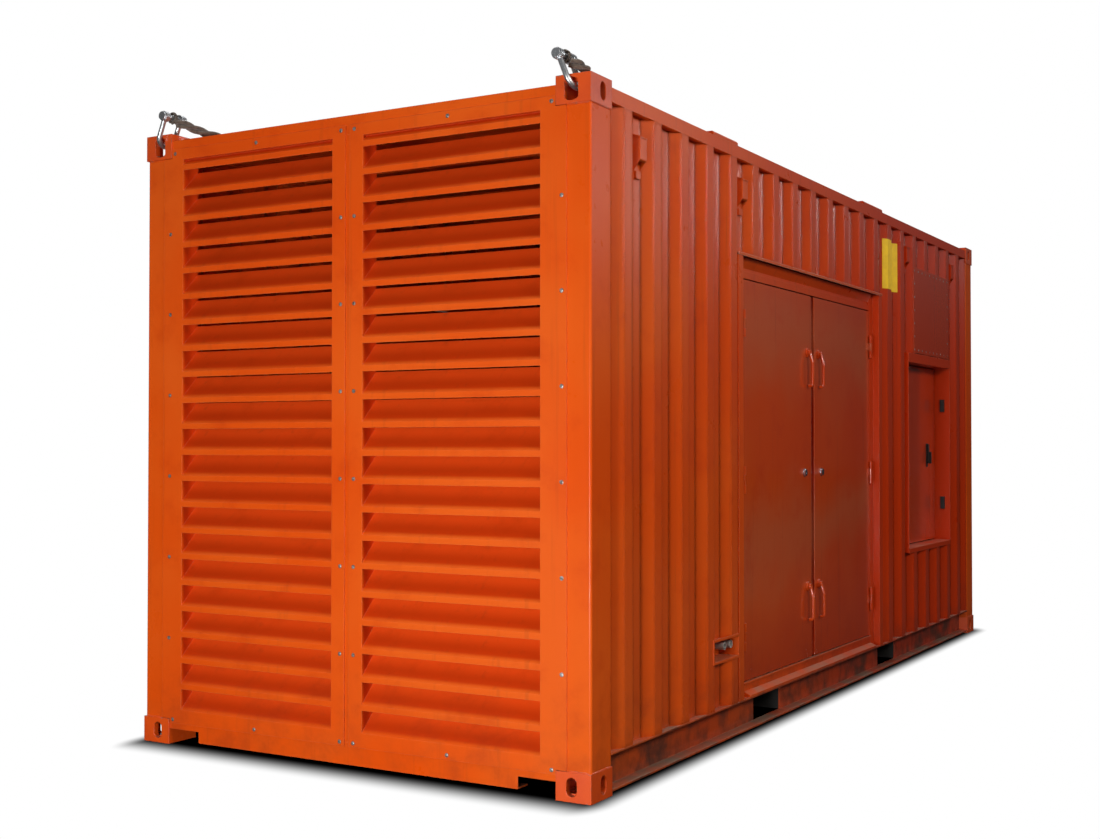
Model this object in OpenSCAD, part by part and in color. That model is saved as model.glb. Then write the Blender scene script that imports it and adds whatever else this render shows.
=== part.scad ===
// Containerised generator set: a hollow steel enclosure on a container frame, louvred at both
// ends, with double doors, an outlet box and a control recess on its right side.
// The origin is the centre of the footprint, at the underside of the bottom corner castings.
// +X is the side with the control recess, -Y is the end nearest the doors, +Z is up. Millimetres.

/* [Frame] */
// Overall length along Y, over the castings
length = 6058; // [5900:1:6400]
// Overall width along X, over the castings
width = 2438; // [2400:1:2600]
// Overall height to the casting tops
height = 2896; // [2850:1:3100]
// Set-back of the posts, rails and side sheets behind the casting faces
side_inset = 4; // [2:0.5:8]
// Set-back of the end frames behind the casting faces
end_inset = 8; // [6:0.5:12]
// Width of a corner post across the end
post_w = 146; // [120:1:150]
// Wall of a corner post
post_wall = 6; // [4:0.5:10]
// Rounding of a corner post's edges
post_r = 10; // [7:0.5:16]
// Drop of the end header below the casting tops
header_drop = 34; // [20:1:50]
// Depth of the header, sill and centre post
end_beam_d = 80; // [60:1:90]
// Wall of the header and centre post
beam_wall = 5; // [3:0.5:10]
// Width of the centre post between the two louvre panels
centre_post_w = 100; // [80:1:120]
// Height of the end sill's lower edge
sill_bottom = 20; // [12:1:30]
// Plate thickness of the end sill
sill_plate = 6; // [4:0.5:10]
// Length of the notch beside each bottom casting
sill_notch_l = 182; // [120:1:220]
// Height of the top of that notch
sill_notch_top = 72; // [50:1:90]

/* [Castings] */
// Casting size along Y
casting_l = 178; // [170:1:190]
// Casting size along X
casting_w = 162; // [155:1:175]
// Casting height
casting_h = 118; // [112:1:126]
// Casting wall on the three pierced faces
casting_wall = 28; // [20:1:30]
// Casting wall on the three plain faces
casting_back = 12; // [8:1:18]
// Length of the twistlock aperture along Y
lock_l = 124; // [110:1:128]
// Width of the twistlock aperture along X
lock_w = 63.5; // [58:0.5:68]
// Centre of the twistlock aperture from the end face
lock_from_end = 102.5; // [98:0.5:106]
// Centre of the twistlock aperture from the side face
lock_from_side = 89.5; // [86:0.5:93]
// Width of the end hole in a top casting
top_hole_w = 62; // [54:1:66]
// Height of the end hole in a top casting
top_hole_h = 94; // [84:1:98]
// Width of the upright slots in the castings
slot_w = 48; // [40:1:52]
// Height of the upright slots in the castings
slot_h = 76; // [66:1:82]

/* [Rails and base] */
// Size of the square top side rails
top_rail = 60; // [50:1:70]
// Wall of the top side rails
top_rail_wall = 4; // [3:0.5:8]
// Drop of the top side rails below the casting tops
top_rail_drop = 26; // [22:1:40]
// Height of the bottom side rail's underside
rail_bottom = 15; // [12:1:22]
// Height of the bottom side rail's top ledge
rail_top = 170; // [160:1:190]
// Depth of the bottom side rail's outward channel
rail_depth = 60; // [50:1:70]
// Web thickness of the bottom side rail
rail_web = 6; // [4:0.5:10]
// Flange thickness of the bottom side rail
rail_flange = 8; // [6:0.5:12]
// Distance between the two fork pockets' centres
pocket_spacing = 2050; // [1900:1:2150]
// Clear width of a fork pocket
pocket_w = 360; // [345:1:370]
// Clear height of a fork pocket
pocket_h = 117; // [105:1:118]
// Plate thickness of the fork pocket tunnels
pocket_plate = 6; // [4:0.5:8]
// Gap between the plates of a fork pocket
weld_gap = 1; // [0.5:0.1:2]
// Number of floor bearers beyond each fork pocket
bearer_count = 4; // [2:1:6]
// Flange width of a floor bearer
bearer_w = 45; // [35:1:60]
// Plate thickness of a floor bearer
bearer_plate = 5; // [4:0.5:8]
// Height of a floor bearer
bearer_h = 122; // [100:1:130]
// Thickness of the floor plate
floor_plate = 6; // [4:0.5:10]

/* [Sheet walls and roof] */
// Thickness of the corrugated sheet
sheet = 2; // [1.5:0.1:4]
// Width of a corrugation's outer face
crest_w = 72; // [60:0.5:84]
// Width of a corrugation's inner face
valley_w = 71.5; // [60:0.5:84]
// Width of each sloping face between them
slope_w = 68; // [50:0.5:80]
// Depth of the side corrugation
corr_depth = 36; // [25:0.5:40]
// Centre of the first outer face from the front end
first_crest = 333; // [300:1:360]
// Nearest pitch of the roof corrugation
roof_pitch = 209; // [180:1:240]
// Depth of the roof corrugation
roof_depth = 20; // [12:0.5:26]
// Width of the roof corrugation's sloping faces
roof_slope = 14; // [10:0.5:24]

/* [Louvres] */
// Gap between the two louvre panels on an end
louvre_gap = 24; // [10:1:40]
// Drop of a panel's top edge below the casting tops
louvre_top_drop = 76; // [70:1:90]
// Height of a panel's bottom edge
louvre_bottom = 100; // [92:1:108]
// Overlap of a panel on the corner post
louvre_on_post = 37; // [15:1:60]
// Gap between a panel's flange and the castings
louvre_clear = 2; // [1:0.5:5]
// Thickness of a panel's flange
louvre_flange = 5; // [3:0.5:6]
// Inner flange width, beside the centre post
louvre_inner_w = 73; // [60:1:90]
// Outer flange width, beside the corner post
louvre_outer_w = 123; // [100:1:140]
// Top flange width
louvre_top_w = 53; // [45:1:65]
// Bottom flange width
louvre_bottom_w = 65; // [55:1:80]
// Depth of the panel's casing
louvre_depth = 100; // [100:1:120]
// Sheet thickness of the blades and casing
louvre_sheet = 3; // [2:0.5:5]
// Spacing of the blades
blade_pitch = 122.6; // [110:0.1:140]
// Height of a blade's upright lip
blade_lip = 26; // [18:0.5:34]
// Distance of the first lip below the top flange
blade_start = 52; // [30:1:70]
// Depth that a blade reaches behind its lip
blade_run = 97; // [80:1:98]
// Height by which a blade overlaps the lip above it
blade_lap = 2; // [0:0.5:10]

/* [Side doors] */
// Front edge of the doorway from the front end
door_from_front = 1644; // [1630:1:1670]
// Width of the sheet between the doors' frame and the control recess
middle_w = 570; // [450:1:700]
// Height of the threshold
threshold_h = 68; // [55:1:90]
// Height of the head over the doorway
head_h = 99; // [80:1:130]
// Height of the head's upright face
head_face = 36; // [20:1:60]
// Height of the groove over that face
head_groove = 16; // [10:1:24]
// Depth of that groove
head_groove_d = 8; // [4:0.5:12]
// Set-back of the leaves behind the side sheets
door_recess = 40; // [36:1:50]
// Thickness of a leaf
leaf_t = 45; // [35:1:60]
// Sheet thickness of a leaf
leaf_sheet = 3; // [2:0.5:5]
// Gap round the leaves
leaf_gap = 6; // [5:0.5:10]
// Gap between the leaves
meeting_gap = 8; // [7:0.5:12]
// Width of the rebate along a leaf's meeting edge
rebate_w = 22; // [12:0.5:30]
// Depth of that rebate
rebate_d = 16; // [8:0.5:24]
// Width of a leaf's inner stiffeners
stiffener_w = 80; // [50:1:120]
// Width of a jamb's inner face
jamb_w = 80; // [60:1:100]
// Width of a jamb's outer return
jamb_return = 58; // [40:1:70]
// Drop of the drip rail below the casting tops
drip_drop = 540; // [450:1:600]
// Height of the drip rail
drip_h = 14; // [10:0.5:30]
// Plate thickness of the drip rail
drip_plate = 4; // [3:0.5:6]
// Radius of a hinge pin
pin_r = 5; // [4:0.5:7]
// Running clearance of pins and spindles
run_gap = 0.08; // [0.05:0.01:0.1]
// Radius of a hinge barrel
barrel_r = 9; // [8:0.5:10]
// Length of one hinge knuckle
knuckle_l = 45; // [30:1:60]
// Gap between knuckles
knuckle_gap = 1; // [0.5:0.1:2]
// Length of a hinge flap
flap_l = 40; // [25:1:46]
// Thickness of a hinge flap
flap_t = 3; // [2.5:0.5:5]
// Height of the lowest hinge above the leaf's lower edge
hinge_margin = 220; // [150:1:400]

/* [Handles and locks] */
// Distance of the lever handles from the meeting line
lever_from_meeting = 88; // [70:1:120]
// Drop of the upper levers' spindles below the doorway's upper edge
lever_from_top = 323; // [250:1:400]
// Height of the lower levers' spindles above the doorway's lower edge
lever_from_bottom = 397; // [300:1:500]
// Radius of a lever's bar
lever_r = 8; // [6:0.5:9]
// Radius of a lever's spindle
spindle_r = 9; // [7:0.5:11]
// Radius of a lever's hub
hub_r = 16; // [12:0.5:20]
// Thickness of a lever's hub
hub_t = 12; // [8:0.5:14]
// Distance of a lever's grip from the leaf
lever_out = 32; // [26:0.5:34]
// Radius of a lever's knee
knee_r = 9; // [8.5:0.5:10]
// Drop of a lever's slanting part
lever_crank = 57; // [40:1:80]
// Bend radius of a lever's foot
lever_bend = 14; // [12:0.5:18]
// Reach of a lever below its spindle
lever_l = 190; // [140:1:240]
// Gap between a lever's foot and the leaf
lever_foot_gap = 8; // [6:0.5:12]
// Radius of a lever's boss
boss_r = 26; // [20:0.5:34]
// Thickness of a lever's boss
boss_t = 10; // [6:0.5:14]
// Distance of the key locks from the meeting line
lock_from_meeting = 134; // [110:1:180]
// Height of the key locks above the leaves' middle
lock_rise = 20; // [0:1:100]
// Radius of a key lock
key_r = 19; // [14:0.5:24]
// How far a key lock stands out
key_t = 12; // [6:0.5:16]

/* [Vent covers] */
// Height of the vent covers' centres below the casting tops
vent_drop = 244; // [240:1:300]
// Height of a vent cover
vent_h = 156; // [120:1:180]
// Width of a vent cover
vent_w = 60; // [50:1:64]
// Sheet thickness of a vent cover
vent_sheet = 3; // [2:0.5:4]
// Rise of a vent cover's open underside
vent_slant = 50; // [30:1:70]
// Height of the cap over a vent cover
vent_cap = 14; // [8:1:20]
// Height of the foot under a vent cover
vent_foot = 30; // [20:1:40]

/* [Outlet box] */
// Front edge of the outlet frame from the front end
outlet_from_front = 1189; // [1150:1:1195]
// Width of the outlet frame
outlet_w = 310; // [280:1:312]
// Height of the outlet frame's lower edge
outlet_bottom = 386; // [300:1:500]
// Height of the outlet frame
outlet_h = 117; // [105:1:140]
// Width of the outlet frame's border
outlet_rim = 12; // [8:0.5:16]
// Depth of the outlet box
outlet_d = 100; // [80:1:120]
// Radius of an outlet fitting
outlet_r = 19; // [12:0.5:21]
// Length of an outlet fitting
outlet_l = 72; // [40:1:80]
// Spacing of the two outlet fittings
outlet_pitch = 78; // [60:1:80]

/* [Control recess] */
// Rear edge of the recess from the rear end
control_from_rear = 659; // [600:1:800]
// Width of the recess
control_w = 1030; // [900:1:1100]
// Height of the recess's lower edge
control_bottom = 730; // [600:1:800]
// Drop of the recess's upper edge below the casting tops
control_drop = 936; // [900:1:1000]
// Depth of the recess in front of its door
control_d = 105; // [90:1:120]
// Plate thickness of the recess
control_plate = 3; // [2:0.5:5]
// Width of the stop behind the door
control_stop = 20; // [14:1:30]
// Thickness of the control door
control_door_t = 25; // [20:1:35]
// Gap round the control door
control_gap = 6; // [5:0.5:10]
// Gap at the control door's closing edge
control_edge_gap = 8; // [7:0.5:12]
// Height of the sill's lip under the recess
control_lip = 34; // [20:1:50]
// Height of the hood's lip over the recess
control_hood = 62; // [40:1:80]
// Centre of the swing handle from the recess's rear edge
control_handle_in = 215; // [150:1:300]
// Height of the swing handle's pivot as a share of the recess
control_handle_at = 0.5455; // [0.4:0.0005:0.7]
// Length of the swing handle
control_handle_l = 138; // [100:1:170]
// Width of the swing handle
control_handle_w = 30; // [18:1:34]
// Thickness of the swing handle
control_handle_t = 12; // [8:0.5:14]
// Front edge of the screwed panel from the recess's front edge
panel_in = 130; // [100:1:160]
// Width of the screwed panel
panel_w = 860; // [600:1:880]
// Height of the screwed panel above the recess
panel_rise = 66; // [64:1:140]
// Height of the screwed panel
panel_h = 574; // [400:1:600]
// Thickness of the screwed panel
panel_t = 3; // [2:0.5:3.5]

/* [Roof edge and lifting gear] */
// Front edge of the first roof pad from the front end
pad_first = 1209; // [1000:1:1400]
// Length of the first roof pad
pad_first_l = 290; // [200:1:340]
// Front edge of the second roof pad from the front end
pad_second = 3449; // [3200:1:3600]
// Length of the second roof pad
pad_second_l = 370; // [250:1:420]
// Thickness of the roof pads
pad_t = 20; // [12:0.5:22]
// Rod radius of a shackle
shackle_r = 12; // [10:0.5:12.5]
// Bend radius of a shackle's bow
shackle_bend = 50; // [46:0.5:54]
// Distance of the shackles from the casting's side face
shackle_from_side = 104; // [98:0.5:105]
// Gap between a shackle's front leg and the casting
shackle_gap = 6; // [3:0.5:10]
// Height of the bow's centre below the casting tops
shackle_sink = 3; // [0:0.5:8]
// Distance of the pin from the bow's centre
shackle_l = 92; // [80:1:100]
// Lean of the shackles towards the middle, in degrees
shackle_lean = 22; // [0:0.5:24]
// Radius of a shackle's eye
shackle_eye_r = 24; // [20:0.5:28]
// Thickness of a shackle's eye
shackle_eye_t = 26; // [18:0.5:28]
// Radius of a shackle's pin
shackle_pin_r = 12; // [10:0.5:13]
// Clearance of a shackle's pin in its eyes
shackle_pin_gap = 0.3; // [0.1:0.1:0.8]
// Radius of the pin's head
shackle_head_r = 20; // [16:0.5:22]
// Thickness of the pin's head
shackle_head_t = 10; // [6:0.5:12]
// Rope radius of the sling
sling_r = 22; // [16:0.5:24]
// Rope radius of the sling's eyes
sling_eye_rope = 9; // [7:0.5:11]
// Clearance of the sling on its pins and over the header
sling_gap = 0.3; // [0.2:0.1:0.6]

/* [Hidden] */
$fn = 48;

paint = [0.82, 0.29, 0.07];
steel = [0.62, 0.62, 0.6];
black = [0.05, 0.05, 0.05];
fibre = [0.5, 0.45, 0.38];

hx = width / 2;
hy = length / 2;
face_x = hx - side_inset;
face_y = hy - end_inset;
post_in_x = face_x - post_w;
bay_y = hy - casting_l;
beam_x = hx - casting_w;
frame_top = height - casting_h;
header_top = height - header_drop;
top_rail_top = height - top_rail_drop;
wall_top = top_rail_top - top_rail;
web_x = face_x - rail_depth;
base_x = web_x - rail_web;
pocket_bottom = rail_bottom + rail_flange;
pocket_top = pocket_bottom + pocket_h;
floor_bottom = rail_top - rail_flange;

pocket_in = pocket_spacing / 2 - pocket_w / 2;
pocket_out = pocket_spacing / 2 + pocket_w / 2;

corr_pitch = crest_w + valley_w + 2 * slope_w;
crest_ref = first_crest - hy;
valley_count = floor((length - 2 * first_crest) / corr_pitch);
valley_x = face_x - corr_depth;

louvre_face = face_y + louvre_flange;
louvre_x0 = louvre_gap / 2;
louvre_x1 = post_in_x + louvre_on_post;
louvre_top = height - louvre_top_drop;
blade_x0 = louvre_x0 + louvre_inner_w;
blade_x1 = louvre_x1 - louvre_outer_w;
blade_z0 = louvre_bottom + louvre_bottom_w;
blade_z1 = louvre_top - louvre_top_w;
blade_count = ceil((blade_z1 - blade_start - blade_z0) / blade_pitch) + 1;
blade_rise = blade_pitch - blade_lip + blade_lap;

control_y1 = hy - control_from_rear;
control_y0 = control_y1 - control_w;
control_top = height - control_drop;

drip_top = height - drip_drop;
drip_bottom = drip_top - drip_h;
door_y0 = door_from_front - hy;
door_y1 = control_y0 - middle_w - jamb_w - jamb_return;
door_mid = (door_y0 + door_y1) / 2;
door_bottom = rail_top + threshold_h;
door_top = drip_bottom - head_h;
leaf_x = face_x - door_recess;
leaf_back = leaf_x - leaf_t;
leaf_z0 = door_bottom + leaf_gap;
leaf_z1 = door_top - leaf_gap;
leaf_w = (door_y1 - door_y0) / 2 - leaf_gap - meeting_gap / 2;
frame_y0 = door_y0 - jamb_w - jamb_return;
frame_y1 = door_y1 + jamb_w + jamb_return;
hinge_x = leaf_x + barrel_r + 1;
hinge_zs = [leaf_z0 + hinge_margin, (leaf_z0 + leaf_z1) / 2, leaf_z1 - hinge_margin];
lever_low = door_bottom + lever_from_bottom;
lever_high = door_top - lever_from_top;
lever_zs = [lever_low, lever_high];
lock_z = (leaf_z0 + leaf_z1) / 2 + lock_rise;

control_x = face_x - control_d;
control_back = control_x - control_door_t;
control_stop_x = control_back - control_gap;
control_stop_y = [control_y0 + control_stop, control_y1 - control_stop];
control_barrel_r = barrel_r - 1;
control_pin_x = control_x + control_barrel_r;
control_pin_y = control_y0 + control_barrel_r + 2;
control_hinge_zs = [control_bottom + hinge_margin, control_top - hinge_margin];
control_handle_y = control_y1 - control_handle_in;
control_handle_z = control_bottom + control_handle_at * (control_top - control_bottom);

outlet_y0 = outlet_from_front - hy;
outlet_y1 = outlet_y0 + outlet_w;
outlet_z0 = outlet_bottom;
outlet_z1 = outlet_bottom + outlet_h;

shackle_x = hx - shackle_from_side;
shackle_y = -hy - shackle_gap - shackle_r + shackle_bend;
shackle_z = height - shackle_sink;
shackle_pin_x = shackle_x - shackle_l * sin(shackle_lean);
shackle_pin_z = shackle_z + shackle_l * cos(shackle_lean);
sling_eye_r = shackle_pin_r + sling_gap + sling_eye_rope;
sling_sides = 10;

// The sling leaves both pins towards +X and lies behind the castings. The places along it are given
// by how far out they are, how far behind the shackles in rope radii, and the share of the pins'
// height above where the sling lies. Over the right casting, out is in rope radii from the pin.
sling_over = [[2.05, 0.86, 0.89], [2.66, 2.14, 0.78], [2.57, 3.59, 0.68], [1.89, 5.05, 0.61],
    [0.7, 6.45, 0.54], [-0.84, 7.9, 0.41], [-2.8, 9.4, 0.24], [-5.2, 11.2, 0.08]];
// Farther on, out is a share of the pins' distance from the middle
sling_across = [[0.83, 13.2, 0], [0.74, 14.9, 0], [0.62, 15.9, 0], [0.45, 16.3, 0], [0.25, 16.4, 0],
    [0.05, 16.3, 0], [-0.15, 15.9, 0], [-0.32, 15, 0], [-0.46, 13.6, 0], [-0.58, 11.9, 0],
    [-0.68, 10.2, 0], [-0.76, 8.5, 0.02], [-0.82, 6.8, 0.08], [-0.865, 5.1, 0.24],
    [-0.9, 3.3, 0.48], [-0.928, 1.7, 0.72], [-0.955, 0.5, 0.9]];
sling_start = (shackle_pin_r + sling_gap + sling_r) * sin(45);
sling_z = header_top + sling_gap + sling_r * cos(180 / sling_sides);
sling_fall = shackle_pin_z - sling_start - sling_z;
sling_route = concat([[shackle_pin_x + sling_start, shackle_y, sling_z + sling_fall]],
    [for (p = sling_over) [shackle_pin_x + p[0] * sling_r, shackle_y + p[1] * sling_r,
        sling_z + p[2] * sling_fall]],
    [for (p = sling_across) [p[0] * shackle_pin_x, shackle_y + p[1] * sling_r,
        sling_z + p[2] * sling_fall]],
    [[sling_start - shackle_pin_x, shackle_y, sling_z + sling_fall]]);

// A block between two corners, given as ranges
module block(x, y, z) {
    translate([x[0], y[0], z[0]]) cube([x[1] - x[0], y[1] - y[0], z[1] - z[0]]);
}

// A profile drawn in Y and Z, drawn out along X
module along_x(x0, x1) {
    translate([x0, 0, 0]) rotate([90, 0, 90]) linear_extrude(x1 - x0) children();
}

// A profile drawn in X and Z, drawn out along Y
module along_y(y0, y1) {
    translate([0, y1, 0]) rotate([90, 0, 0]) linear_extrude(y1 - y0) children();
}

module both_sides() {
    children();
    mirror([1, 0, 0]) children();
}

module both_ends() {
    children();
    mirror([0, 1, 0]) children();
}

module left_side() {
    mirror([1, 0, 0]) children();
}

// A rectangle with round corners, from its low corner
module round_rect(size, r) {
    translate([r, 0]) square([size[0] - 2 * r, size[1]]);
    translate([0, r]) square([size[0], size[1] - 2 * r]);
    for (x = [r, size[0] - r], y = [r, size[1] - r]) translate([x, y]) circle(r);
}

// A slot with round ends, upright and centred
module upright_slot(w, h) {
    square([w, h - w], center = true);
    for (side = [-1, 1]) translate([0, side * (h - w) / 2]) circle(d = w);
}

// A rectangle cut by a circle, so that its short ends are round
module barrel_hole(w, h) {
    intersection() {
        square([w, h], center = true);
        circle(d = h);
    }
}

// A rectangular tube's section, from its low corner
module tube_section(size, wall) {
    difference() {
        square(size);
        translate([wall, wall]) square([size[0] - 2 * wall, size[1] - 2 * wall]);
    }
}

// Corner castings

// A hollow casting for the right front corner, pierced on top, at its side and at its end
module casting(end_w, end_h, round_end) {
    translate([hx - casting_w, -hy, 0]) difference() {
        cube([casting_w, casting_l, casting_h]);
        translate([casting_back, casting_wall, casting_back])
            cube([casting_w - casting_wall - casting_back, casting_l - casting_wall - casting_back,
                casting_h - casting_wall - casting_back]);
        translate([casting_w - lock_from_side, lock_from_end, casting_h - casting_wall - 1])
            linear_extrude(casting_wall + 2) barrel_hole(lock_w, lock_l);
        translate([casting_w - lock_from_side, casting_wall + 1, casting_h / 2]) rotate([90, 0, 0])
            linear_extrude(casting_wall + 2)
                if (round_end) barrel_hole(end_w, end_h);
                else upright_slot(end_w, end_h);
        translate([casting_w - casting_wall - 1, lock_from_end, casting_h / 2]) rotate([90, 0, 90])
            linear_extrude(casting_wall + 2) upright_slot(slot_w, slot_h);
    }
}

module top_castings() {
    color(paint) both_ends() both_sides()
        translate([0, 0, frame_top]) casting(top_hole_w, top_hole_h, true);
}

module bottom_castings() {
    color(paint) both_ends() both_sides()
        translate([0, 0, casting_h]) mirror([0, 0, 1]) casting(slot_w, slot_h, false);
}

// End frames

module corner_posts() {
    post_l = bay_y - face_y;
    color(paint) both_ends() both_sides()
        translate([post_in_x, -face_y, casting_h]) linear_extrude(frame_top - casting_h)
            difference() {
                round_rect([post_w, -post_l], post_r);
                translate([post_wall, post_wall])
                    round_rect([post_w - 2 * post_wall, -post_l - 2 * post_wall],
                        post_r - post_wall);
            }
}

// A tube with a plate behind its top edge, as far in as the castings reach
module end_headers() {
    color(paint) both_ends() along_x(-beam_x, beam_x) {
        translate([-face_y, frame_top])
            tube_section([end_beam_d, header_top - frame_top], beam_wall);
        translate([beam_wall - face_y, header_top - beam_wall])
            square([face_y - beam_wall - bay_y, beam_wall]);
    }
}

// A sill plate with a notch beside each casting, stiffened by a flange along its top and bottom
module end_sills() {
    notch_x = beam_x - sill_notch_l;
    color(paint) both_ends() {
        along_y(-face_y, -face_y + sill_plate) {
            translate([-notch_x, sill_bottom]) square([2 * notch_x, casting_h - sill_bottom]);
            translate([-beam_x, sill_notch_top])
                square([2 * beam_x, casting_h - sill_notch_top]);
        }
        block([-beam_x, beam_x], [-face_y, end_beam_d - face_y],
            [casting_h - sill_plate, casting_h]);
        block([-notch_x, notch_x], [-face_y, end_beam_d - face_y],
            [sill_bottom, sill_bottom + sill_plate]);
    }
}

module centre_posts() {
    color(paint) both_ends()
        translate([-centre_post_w / 2, -face_y, casting_h]) linear_extrude(frame_top - casting_h)
            tube_section([centre_post_w, end_beam_d], beam_wall);
}

// Side rails, base and floor

module top_rails() {
    color(paint) both_sides() along_y(-bay_y, bay_y)
        translate([face_x - top_rail, wall_top]) tube_section([top_rail, top_rail], top_rail_wall);
}

// Each rail is a channel that opens outwards: a ledge along its top and a strap under each pocket
module rail_strips() {
    color(paint) both_sides() {
        along_y(-bay_y, bay_y) {
            translate([base_x, floor_bottom]) square([face_x - base_x, rail_flange]);
            translate([base_x, pocket_top]) square([rail_web, rail_top - pocket_top]);
        }
        for (side = [-1, 1]) translate([0, side * pocket_spacing / 2, 0])
            block([base_x, face_x], [-pocket_w / 2, pocket_w / 2], [rail_bottom, pocket_bottom]);
    }
}

// The rails' webs and lower flanges, in lengths between the pockets
module rail_webs() {
    color(paint) both_sides()
        for (y = [[-bay_y, -pocket_out], [-pocket_in, pocket_in], [pocket_out, bay_y]]) {
            block([base_x, web_x], y, [rail_bottom, pocket_top]);
            block([base_x, face_x], y, [rail_bottom, pocket_bottom]);
        }
}

// Plates from rail to rail: two walls and a roof for each pocket
module fork_pockets() {
    color(paint) for (side = [-1, 1]) translate([0, side * pocket_spacing / 2, 0]) {
        for (edge = [-1, 1]) translate([0, edge * (pocket_w + pocket_plate) / 2, 0])
            block([-base_x, base_x], [-pocket_plate / 2, pocket_plate / 2],
                [pocket_bottom, pocket_top + pocket_plate]);
        block([-base_x, base_x], [weld_gap - pocket_w / 2, pocket_w / 2 - weld_gap],
            [pocket_top, pocket_top + pocket_plate]);
    }
}

// Channels from rail to rail that carry the floor, two inside each pocket and some beyond it
module floor_bearers() {
    outer = pocket_out + pocket_plate;
    ys = concat([for (k = [0, 1]) (k + 0.5) * (pocket_in - pocket_plate) / 2 - bearer_w / 2],
        [for (k = [0:bearer_count - 1])
            outer + (k + 0.5) * (bay_y - outer) / bearer_count - bearer_w / 2]);
    color(paint) both_ends() for (y = ys) along_x(-base_x, base_x)
        translate([y, floor_bottom - bearer_h]) difference() {
            square([bearer_w, bearer_h]);
            translate([bearer_plate, bearer_plate])
                square([bearer_w, bearer_h - 2 * bearer_plate]);
        }
}

module floor_deck() {
    end_y = louvre_face - louvre_depth - louvre_sheet;
    color(steel) translate([0, 0, floor_bottom]) linear_extrude(floor_plate) {
        translate([-base_x, -bay_y]) square([2 * base_x, 2 * bay_y]);
        translate([-post_in_x, -end_y]) square([2 * post_in_x, 2 * end_y]);
    }
}

// Corrugated sheets

// Depth of a corrugation at a distance past the middle of an outer face
function dip(s, crest, slope, valley, depth) =
    s < crest / 2 ? 0 :
    s < crest / 2 + slope ? depth * (s - crest / 2) / slope :
    s < crest / 2 + slope + valley ? depth :
    s < crest / 2 + 2 * slope + valley ?
        depth * (crest / 2 + 2 * slope + valley - s) / slope : 0;

// Places between two ends where the sheet bends
function bends(from, to, ref, crest, slope, valley) =
    let (pitch = crest + valley + 2 * slope)
    [for (k = [floor((from - ref) / pitch) : ceil((to - ref) / pitch)],
        s = [crest / 2, crest / 2 + slope, crest / 2 + slope + valley,
            crest / 2 + 2 * slope + valley])
        if (ref + k * pitch + s > from + sheet && ref + k * pitch + s < to - sheet)
            ref + k * pitch + s];

// Outline of a corrugated sheet along its length, with its outer faces at zero
function sheet_outline(from, to, ref, crest, slope, valley, depth) =
    let (pitch = crest + valley + 2 * slope,
        places = concat([from], bends(from, to, ref, crest, slope, valley), [to]),
        outer = [for (p = places) [p, -dip((p - ref) - pitch * floor((p - ref) / pitch),
            crest, slope, valley, depth)]],
        last = len(outer) - 1)
    concat(outer, [for (i = [0:last]) outer[last - i] - [0, sheet]]);

// An upright sheet of the right side
module side_sheet(y0, y1, z0, z1) {
    points = sheet_outline(y0, y1, crest_ref, crest_w, slope_w, valley_w, corr_depth);
    translate([face_x, 0, z0]) linear_extrude(z1 - z0)
        polygon([for (p = points) [p[1], p[0]]]);
}

// A whole number of corrugations between the headers, level with their tops
module roof_sheet() {
    pitch = 2 * bay_y / round(2 * bay_y / roof_pitch);
    flat = pitch / 2 - roof_slope;
    color(paint) along_x(top_rail - face_x, face_x - top_rail)
        translate([0, header_top])
            polygon(sheet_outline(-bay_y, bay_y, -bay_y, flat, roof_slope, flat, roof_depth));
}

module right_wall_front() {
    color(paint) difference() {
        side_sheet(-bay_y, frame_y0, rail_top, wall_top);
        block([valley_x - 2 * sheet, face_x + 1],
            [outlet_y0 + outlet_rim - louvre_sheet, outlet_y1 - outlet_rim + louvre_sheet],
            [outlet_z0 + outlet_rim - louvre_sheet, outlet_z1 - outlet_rim + louvre_sheet]);
    }
}

module right_wall_over_door() {
    color(paint) side_sheet(frame_y0, frame_y1, drip_top, wall_top);
}

module right_wall_middle() {
    color(paint) side_sheet(frame_y1, control_y0 - control_plate, rail_top, wall_top);
}

module right_wall_over_control() {
    color(paint) side_sheet(control_y0 - control_plate, control_y1 + control_plate,
        control_top + control_hood, wall_top);
}

module right_wall_under_control() {
    color(paint) side_sheet(control_y0 - control_plate, control_y1 + control_plate,
        rail_top, control_bottom - control_lip);
}

module right_wall_rear() {
    color(paint) side_sheet(control_y1 + control_plate, bay_y, rail_top, wall_top);
}

module left_wall_front() {
    color(paint) left_side() side_sheet(-bay_y, frame_y0, rail_top, wall_top);
}

module left_wall_over_door() {
    color(paint) left_side() side_sheet(frame_y0, frame_y1, drip_top, wall_top);
}

module left_wall_rear() {
    color(paint) left_side() side_sheet(frame_y1, bay_y, rail_top, wall_top);
}

// Side doors

// One knuckle of a hinge with its flap, at the pin; the flap reaches along Y towards its leaf
module knuckle(r, z0, z1, flap_side, bored) {
    difference() {
        union() {
            translate([0, 0, z0]) cylinder(r = r, h = z1 - z0);
            translate([-r - 1, min(0, flap_side * flap_l), z0]) cube([flap_t, flap_l, z1 - z0]);
        }
        if (bored) translate([0, 0, z0 - 1]) cylinder(r = pin_r + run_gap, h = z1 - z0 + 2);
    }
}

// The fixed halves of a hinge: a knuckle above and below the leaf's one, and the pin
module fixed_hinge(r, z, flap_side) {
    step = knuckle_l / 2 + knuckle_gap;
    for (side = [-1, 1])
        knuckle(r, z + side * (step + knuckle_l / 2) - knuckle_l / 2,
            z + side * (step + knuckle_l / 2) + knuckle_l / 2, flap_side, false);
    translate([0, 0, z - step - 1]) cylinder(r = pin_r, h = 2 * step + 2);
}

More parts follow.
